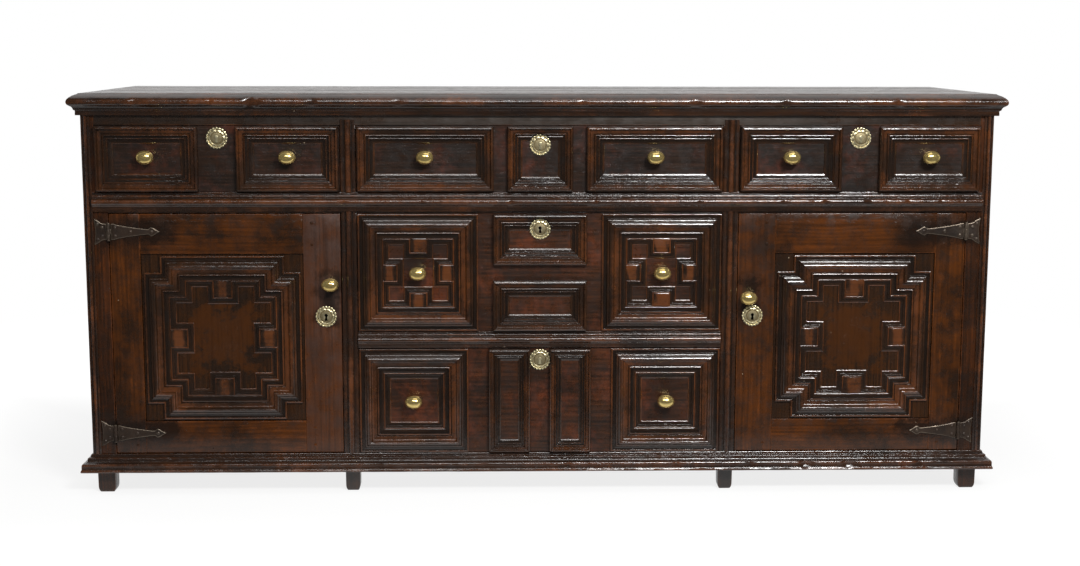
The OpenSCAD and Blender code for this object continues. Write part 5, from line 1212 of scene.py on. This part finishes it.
def knob(x, z, deep, turned):
    """Egg on a waisted neck with a rose at the wood, its stem and nut behind; turned mirrors the egg."""
    egg = fresh(bpy.ops.mesh.primitive_uv_sphere_add, segments=40, ring_count=24, radius=1,
                rotation=(0, math.pi/2, 0))
    egg.scale = (knob_t/2*MM, knob_t/2*MM, knob_l/2*MM)
    settle(egg)
    co = coordinates(egg)
    half_l = knob_l/2*MM
    co[:, 0] = half_l*np.sign(co[:, 0])*np.abs(co[:, 0]/half_l)**0.88
    co[:, 0] *= 1 + 0.05*turned*co[:, 0]/half_l
    co[:, 1] += -(knob_reach - knob_t/2)*MM
    egg.data.vertices.foreach_set("co", co.ravel())
    neck = fresh(bpy.ops.mesh.primitive_circle_add, vertices=32, radius=8.5*MM, fill_type="NGON",
                 rotation=(math.pi/2, 0, 0))
    settle(neck)
    with editing(neck):
        bpy.ops.mesh.select_all(action="SELECT")
        extrude(0, -0.9, 0)
        for inward, rise in neck_turning:
            step_in(max(inward, 0), 0, -rise, 0)
            if inward < 0:
                bpy.ops.transform.resize(value=(1 - inward*0.12, 1, 1 - inward*0.12))
    stem = fresh(bpy.ops.mesh.primitive_cylinder_add, vertices=20, radius=3*MM, depth=(deep + 7)*MM,
                 location=(0, (deep + 6)/2*MM, 0), rotation=(math.pi/2, 0, 0))
    nut = fresh(bpy.ops.mesh.primitive_cube_add, size=1, location=(0, (deep + 2)*MM, 0))
    nut.scale = (14*MM, 4*MM, 14*MM)
    settle(nut)
    soften(nut, 0.8)
    join([egg, neck, stem, nut])
    egg.location = at(x, 0, z)
    settle(egg)
    with editing(egg):
        face_outwards()
    store(egg, "wear", 1.0)
    return egg


side_x = middle_of("top_right_drawer_front")[0]
knob_places = {"top_left": [-side_x - side_shift, side_shift - side_x], "top_centre": [-centre_x, centre_x],
               "top_right": [side_x - side_shift, side_x + side_shift], "upper_deep": [-block_x, block_x],
               "lower_deep": [-square_x, square_x]}
drawer_front_t = 24
for drawer, spots in knob_places.items():
    z = middle_of(drawer + "_drawer_knobs")[1]
    knobs = [knob(x, z, drawer_front_t, 1 if i else -1) for i, x in enumerate(spots)]
    piece(drawer + "_brass_knobs", knobs, drawer + "_drawer", knob_brass, drawer + "_drawer_knobs")
for side, word in ((-1, "left"), (1, "right")):
    piece(word + "_door_brass_knob", [knob(*middle_of(word + "_door_knob"), door_t, side)], word + "_door",
          knob_brass, word + "_door_knob")

# Escutcheons: round cast brass plates with a scalloped rim, a ring of bosses, a raised ring and a domed middle.
# Those of the doors and the upper deep drawer are pierced for a key; the others carry a keyhole in relief.
plate_r = 23.5
lobes = 20
turning = ((0.6, 1.5), (1.1, 0.5), (1.9, -0.1), (1.1, -1.2), (1.0, -0.1), (1.0, 0.1), (0.7, 0.5), (1.2, 0.4),
           (0.8, -0.6), (0.6, -0.5), (1.4, 0.1), (0.7, 0.9), (1.3, 0.2), (2.6, 0.3), (3.2, 0.1))


def escutcheon(centre, pierced):
    """A plate made flat at the origin, then stood up against the wood at its centre."""
    plate = fresh(bpy.ops.mesh.primitive_circle_add, vertices=8*lobes, radius=plate_r*MM, fill_type="NGON")
    with editing(plate):
        bpy.ops.mesh.select_all(action="SELECT")
        extrude(0, 0, 0.8)
        for inward, rise in turning:
            step_in(inward, 0, 0, rise)
        face_outwards()
    co = coordinates(plate)
    radius = np.hypot(co[:, 0], co[:, 1])/(plate_r*MM)
    angle = np.arctan2(co[:, 1], co[:, 0])
    outer = np.clip((radius - 0.8)/0.2, 0, 1)
    scallop = 1 - 0.045*outer*(1 - np.abs(np.cos(lobes*angle/2)))*2
    co[:, 0] *= scallop
    co[:, 1] *= scallop
    petals = np.clip(1 - np.abs(radius - 0.72)/0.12, 0, 1)*(np.abs(np.cos(lobes*angle/4)) - 0.6)
    co[:, 2] += np.where(co[:, 2] > 0.5*MM, petals*1.1*MM, 0)
    plate.data.vertices.foreach_set("co", co.ravel())
    if pierced:
        cut_away(flat_borer(12), plate)
    parts = [plate]
    for i in range(lobes):
        turn = 2*math.pi*i/lobes
        boss = fresh(bpy.ops.mesh.primitive_uv_sphere_add, segments=10, ring_count=7, radius=1.75*MM,
                     location=(0.885*plate_r*MM*math.cos(turn), 0.885*plate_r*MM*math.sin(turn), 2.5*MM))
        boss.scale = (1, 1, 0.75)
        settle(boss)
        parts.append(boss)
    if not pierced:
        relief = flat_borer(1.4, 3.3)
        soften(relief, 0.35)
        parts.append(relief)
    join(parts)
    plate.matrix_world = Matrix.Translation(centre) @ Matrix.Rotation(math.pi/2, 4, "X")
    settle(plate)
    height = (face - coordinates(plate)[:, 1])/MM
    from_centre = np.hypot(*(coordinates(plate) - np.array(centre))[:, [0, 2]].T)/MM
    ring = np.interp(from_centre, (0, 4.5, 6, 13, 15), (0.35, 0.35, 1, 1, 0) if pierced else (1, 1, 1, 1, 0))
    store(plate, "wear", np.clip((height - 1.2)/1.1, 0, 1)*np.where(height > 3.2, 1, 1 - 0.8*ring))
    return plate


for body in [d + "_drawer" for d in drawer_names] + ["left_door", "right_door"]:
    x, z = middle_of(body + "_escutcheon")
    pierced = body in ("upper_deep_drawer", "left_door", "right_door")
    piece(body + "_brass_plate", [escutcheon(at(x, 0, z), pierced)], body, plate_brass,
          body + "_escutcheon")

# Hinges: forged iron, a butterfly plate on the post and a long tapered strap with a lozenge end on the door.
# Hammered thin, filed along the edges, nailed with rose-headed nails and blackened; the pin turns in three barrels.
iron_t = 2.5
knuckle_h, knuckle_d = 34, 8.4
strap_l, finial_l = 86, 22
plate_l = 30.75
plate_h = 56
barrel_y = -knuckle_d/2 - 0.4
pin_x = x_door - door_gap/2


def forged_iron(name):
    material, tree, shader, position = blank_material(name)
    age = place_group(tree, polish, {"Position": calc3(tree, "MULTIPLY", position, (1.6, 1.6, 1.6))})
    worn = place_group(tree, rubbed, {"Wear": stored(tree, "wear"), "Position": position})["Mask"]
    colour = mix(tree, age["Grime"], tone(58, 44, 34), tone(33, 24, 18))
    finish_with(tree, shader, mix(tree, worn, colour, tone(120, 108, 94)),
                calc(tree, "MULTIPLY_ADD", age["Gloss"], 0.22, 0.34), age["Height"], 0.5)
    tree.links.new(calc(tree, "MULTIPLY_ADD", worn, 0.4, 0.35), shader["Metallic"])
    return material


iron = forged_iron("forged iron")


def sweep(x, z, radius, start, end, n=5):
    """Points along an arc, its angles in degrees."""
    return [(x + radius*math.cos(math.radians(start + (end - start)*i/n)),
             z + radius*math.sin(math.radians(start + (end - start)*i/n))) for i in range(n + 1)]


half_k = knuckle_h/2
half_plate = plate_h/2
flare = half_plate - half_k + 6
plate_outline = ([(4.7, -half_k), (7.7, -half_k)] + sweep(7.7, -half_plate - 6, flare, 90, 42)
                 + [(plate_l, -half_plate), (plate_l - 1.5, -half_plate*0.6), (plate_l - 3, -6), (plate_l - 3, 6),
                    (plate_l - 1.5, half_plate*0.6), (plate_l, half_plate)]
                 + sweep(7.7, half_plate + 6, flare, -42, -90) + [(4.7, half_k)])
strap_half = [(-4.7, half_k), (-10.5, half_k), (-18, 14.6), (-strap_l*0.45, 10.8), (-strap_l*0.72, 7.6),
              (-strap_l + 5, 5.4), (-strap_l + 1.5, 5.6), (-strap_l - 2, 8.6), (-strap_l - 4, 9.6),
              (-strap_l - 9, 7.6), (-strap_l - finial_l*0.62, 4.4), (-strap_l - finial_l*0.8, 2.2)]
strap_outline = strap_half + [(-strap_l - finial_l, 0)] + [(x, -z) for x, z in reversed(strap_half)]
plate_nails = ((14, -9), (14, 9), (plate_l - 7, -17), (plate_l - 7, 17))
strap_nails = ((-13, -9), (-13, 9), (-46, 0), (-strap_l - 5, 0))


def leaf(outline):
    """A flat iron leaf forged to an outline, in place at x = 0, z = 0, its edges drawn thin by the hammer."""
    ob = fresh(bpy.ops.mesh.primitive_circle_add, vertices=len(outline), fill_type="NGON")
    ob.data.vertices.foreach_set("co", [c*MM for x, z in outline for c in (x, 0, z)])
    with editing(ob):
        bpy.ops.mesh.select_all(action="SELECT")
        extrude(0, -iron_t*0.72, 0)
        step_in(1.5, 0, -iron_t*0.28, 0)
        bpy.ops.mesh.inset(thickness=1.0*MM, depth=0)
        face_outwards()
    modify(ob, "TRIANGULATE")
    with editing(ob):
        bpy.ops.mesh.select_all(action="SELECT")
        bpy.ops.mesh.subdivide(number_cuts=2)
    co = coordinates(ob)
    edge = (co[:, 1] > -0.95*iron_t*MM) & (co[:, 1] < -0.4*iron_t*MM)
    store(ob, "wear", np.where(edge, 0.8, 0.1))
    return ob


def barrel(z0, z1, radius, wear=0.3):
    """A rolled barrel of the knuckle or, thinner, a pin's end."""
    ob = fresh(bpy.ops.mesh.primitive_cylinder_add, vertices=24, radius=radius*MM, depth=(z1 - z0)*MM,
               location=(0, barrel_y*MM, (z0 + z1)/2*MM))
    settle(ob)
    soften(ob, 0.5)
    store(ob, "wear", wear)
    return ob


def web(z0, z1, way):
    """The iron between a barrel and its leaf."""
    ob = fresh(bpy.ops.mesh.primitive_cube_add, size=1,
               location=(way*2.6*MM, -(iron_t/2 + 0.2)*MM, (z0 + z1)/2*MM))
    ob.scale = (5.2*MM, (iron_t + 0.3)*MM, (z1 - z0)*MM)
    settle(ob)
    soften(ob, 0.5)
    store(ob, "wear", 0.4)
    return ob


def nail_head(x, z):
    """A rose head struck with four or five blows: a low faceted cone."""
    ob = fresh(bpy.ops.mesh.primitive_circle_add, vertices=7, radius=4*MM, fill_type="NGON",
               location=(x*MM, -iron_t*MM, z*MM), rotation=(math.pi/2, chance.uniform(0, 1), 0))
    settle(ob)
    with editing(ob):
        bpy.ops.mesh.select_all(action="SELECT")
        extrude(0, -0.7, 0)
        step_in(1.1, 0, -0.9, 0)
        step_in(1.6, chance.uniform(-0.3, 0.3), -0.5, 0)
        face_outwards()
    store(ob, "wear", 0.3)
    return ob


def hang(parts, side, height):
    """Joins the parts of one leaf and sets them at their hinge, mirrored on the left."""
    ob = join(parts)
    ob.matrix_world = Matrix.Translation(at(side*pin_x, 0, height)) @ Matrix.Diagonal((side, 1, 1, 1))
    settle(ob)
    with editing(ob):
        face_outwards()
    return ob


fold = knuckle_h/6
play = 0.3
fixed = []
for side, word in ((-1, "left"), (1, "right")):
    straps = []
    for height in hinge_heights:
        parts = [leaf(plate_outline)] + [nail_head(x, z) for x, z in plate_nails]
        for z0, z1 in ((-half_k, -fold), (fold, half_k)):
            parts += [barrel(z0, z1, knuckle_d/2), web(z0, z1, 1)]
        parts += [barrel(-half_k - 2, half_k + 2, 2.2, 0.8)]
        parts += [barrel(z - 1, z + 1, 3.2, 0.8) for z in (-half_k - 1.2, half_k + 1.2)]
        fixed.append(hang(parts, side, height))
        parts = [leaf(strap_outline)] + [nail_head(x, z) for x, z in strap_nails]
        parts += [barrel(play - fold, fold - play, knuckle_d/2), web(play - fold, fold - play, -1)]
        straps.append(hang(parts, side, height))
    piece(word + "_door_strap_hinges", straps, word + "_door", iron, word + "_door_straps")
piece("post_hinge_plates", fixed, "carcass", iron, "hinge_plates")

# Locks: iron cases screwed to the backs of the doors and of the upper deep drawer, each with its bolt.
# They stay as the frame gives them, in the same blackened iron.
dress(iron, ["upper_deep_drawer_lock", "upper_deep_drawer_lock_bolt"]
      + [w + part for w in ("left", "right") for part in ("_door_lock", "_door_lock_bolt")])
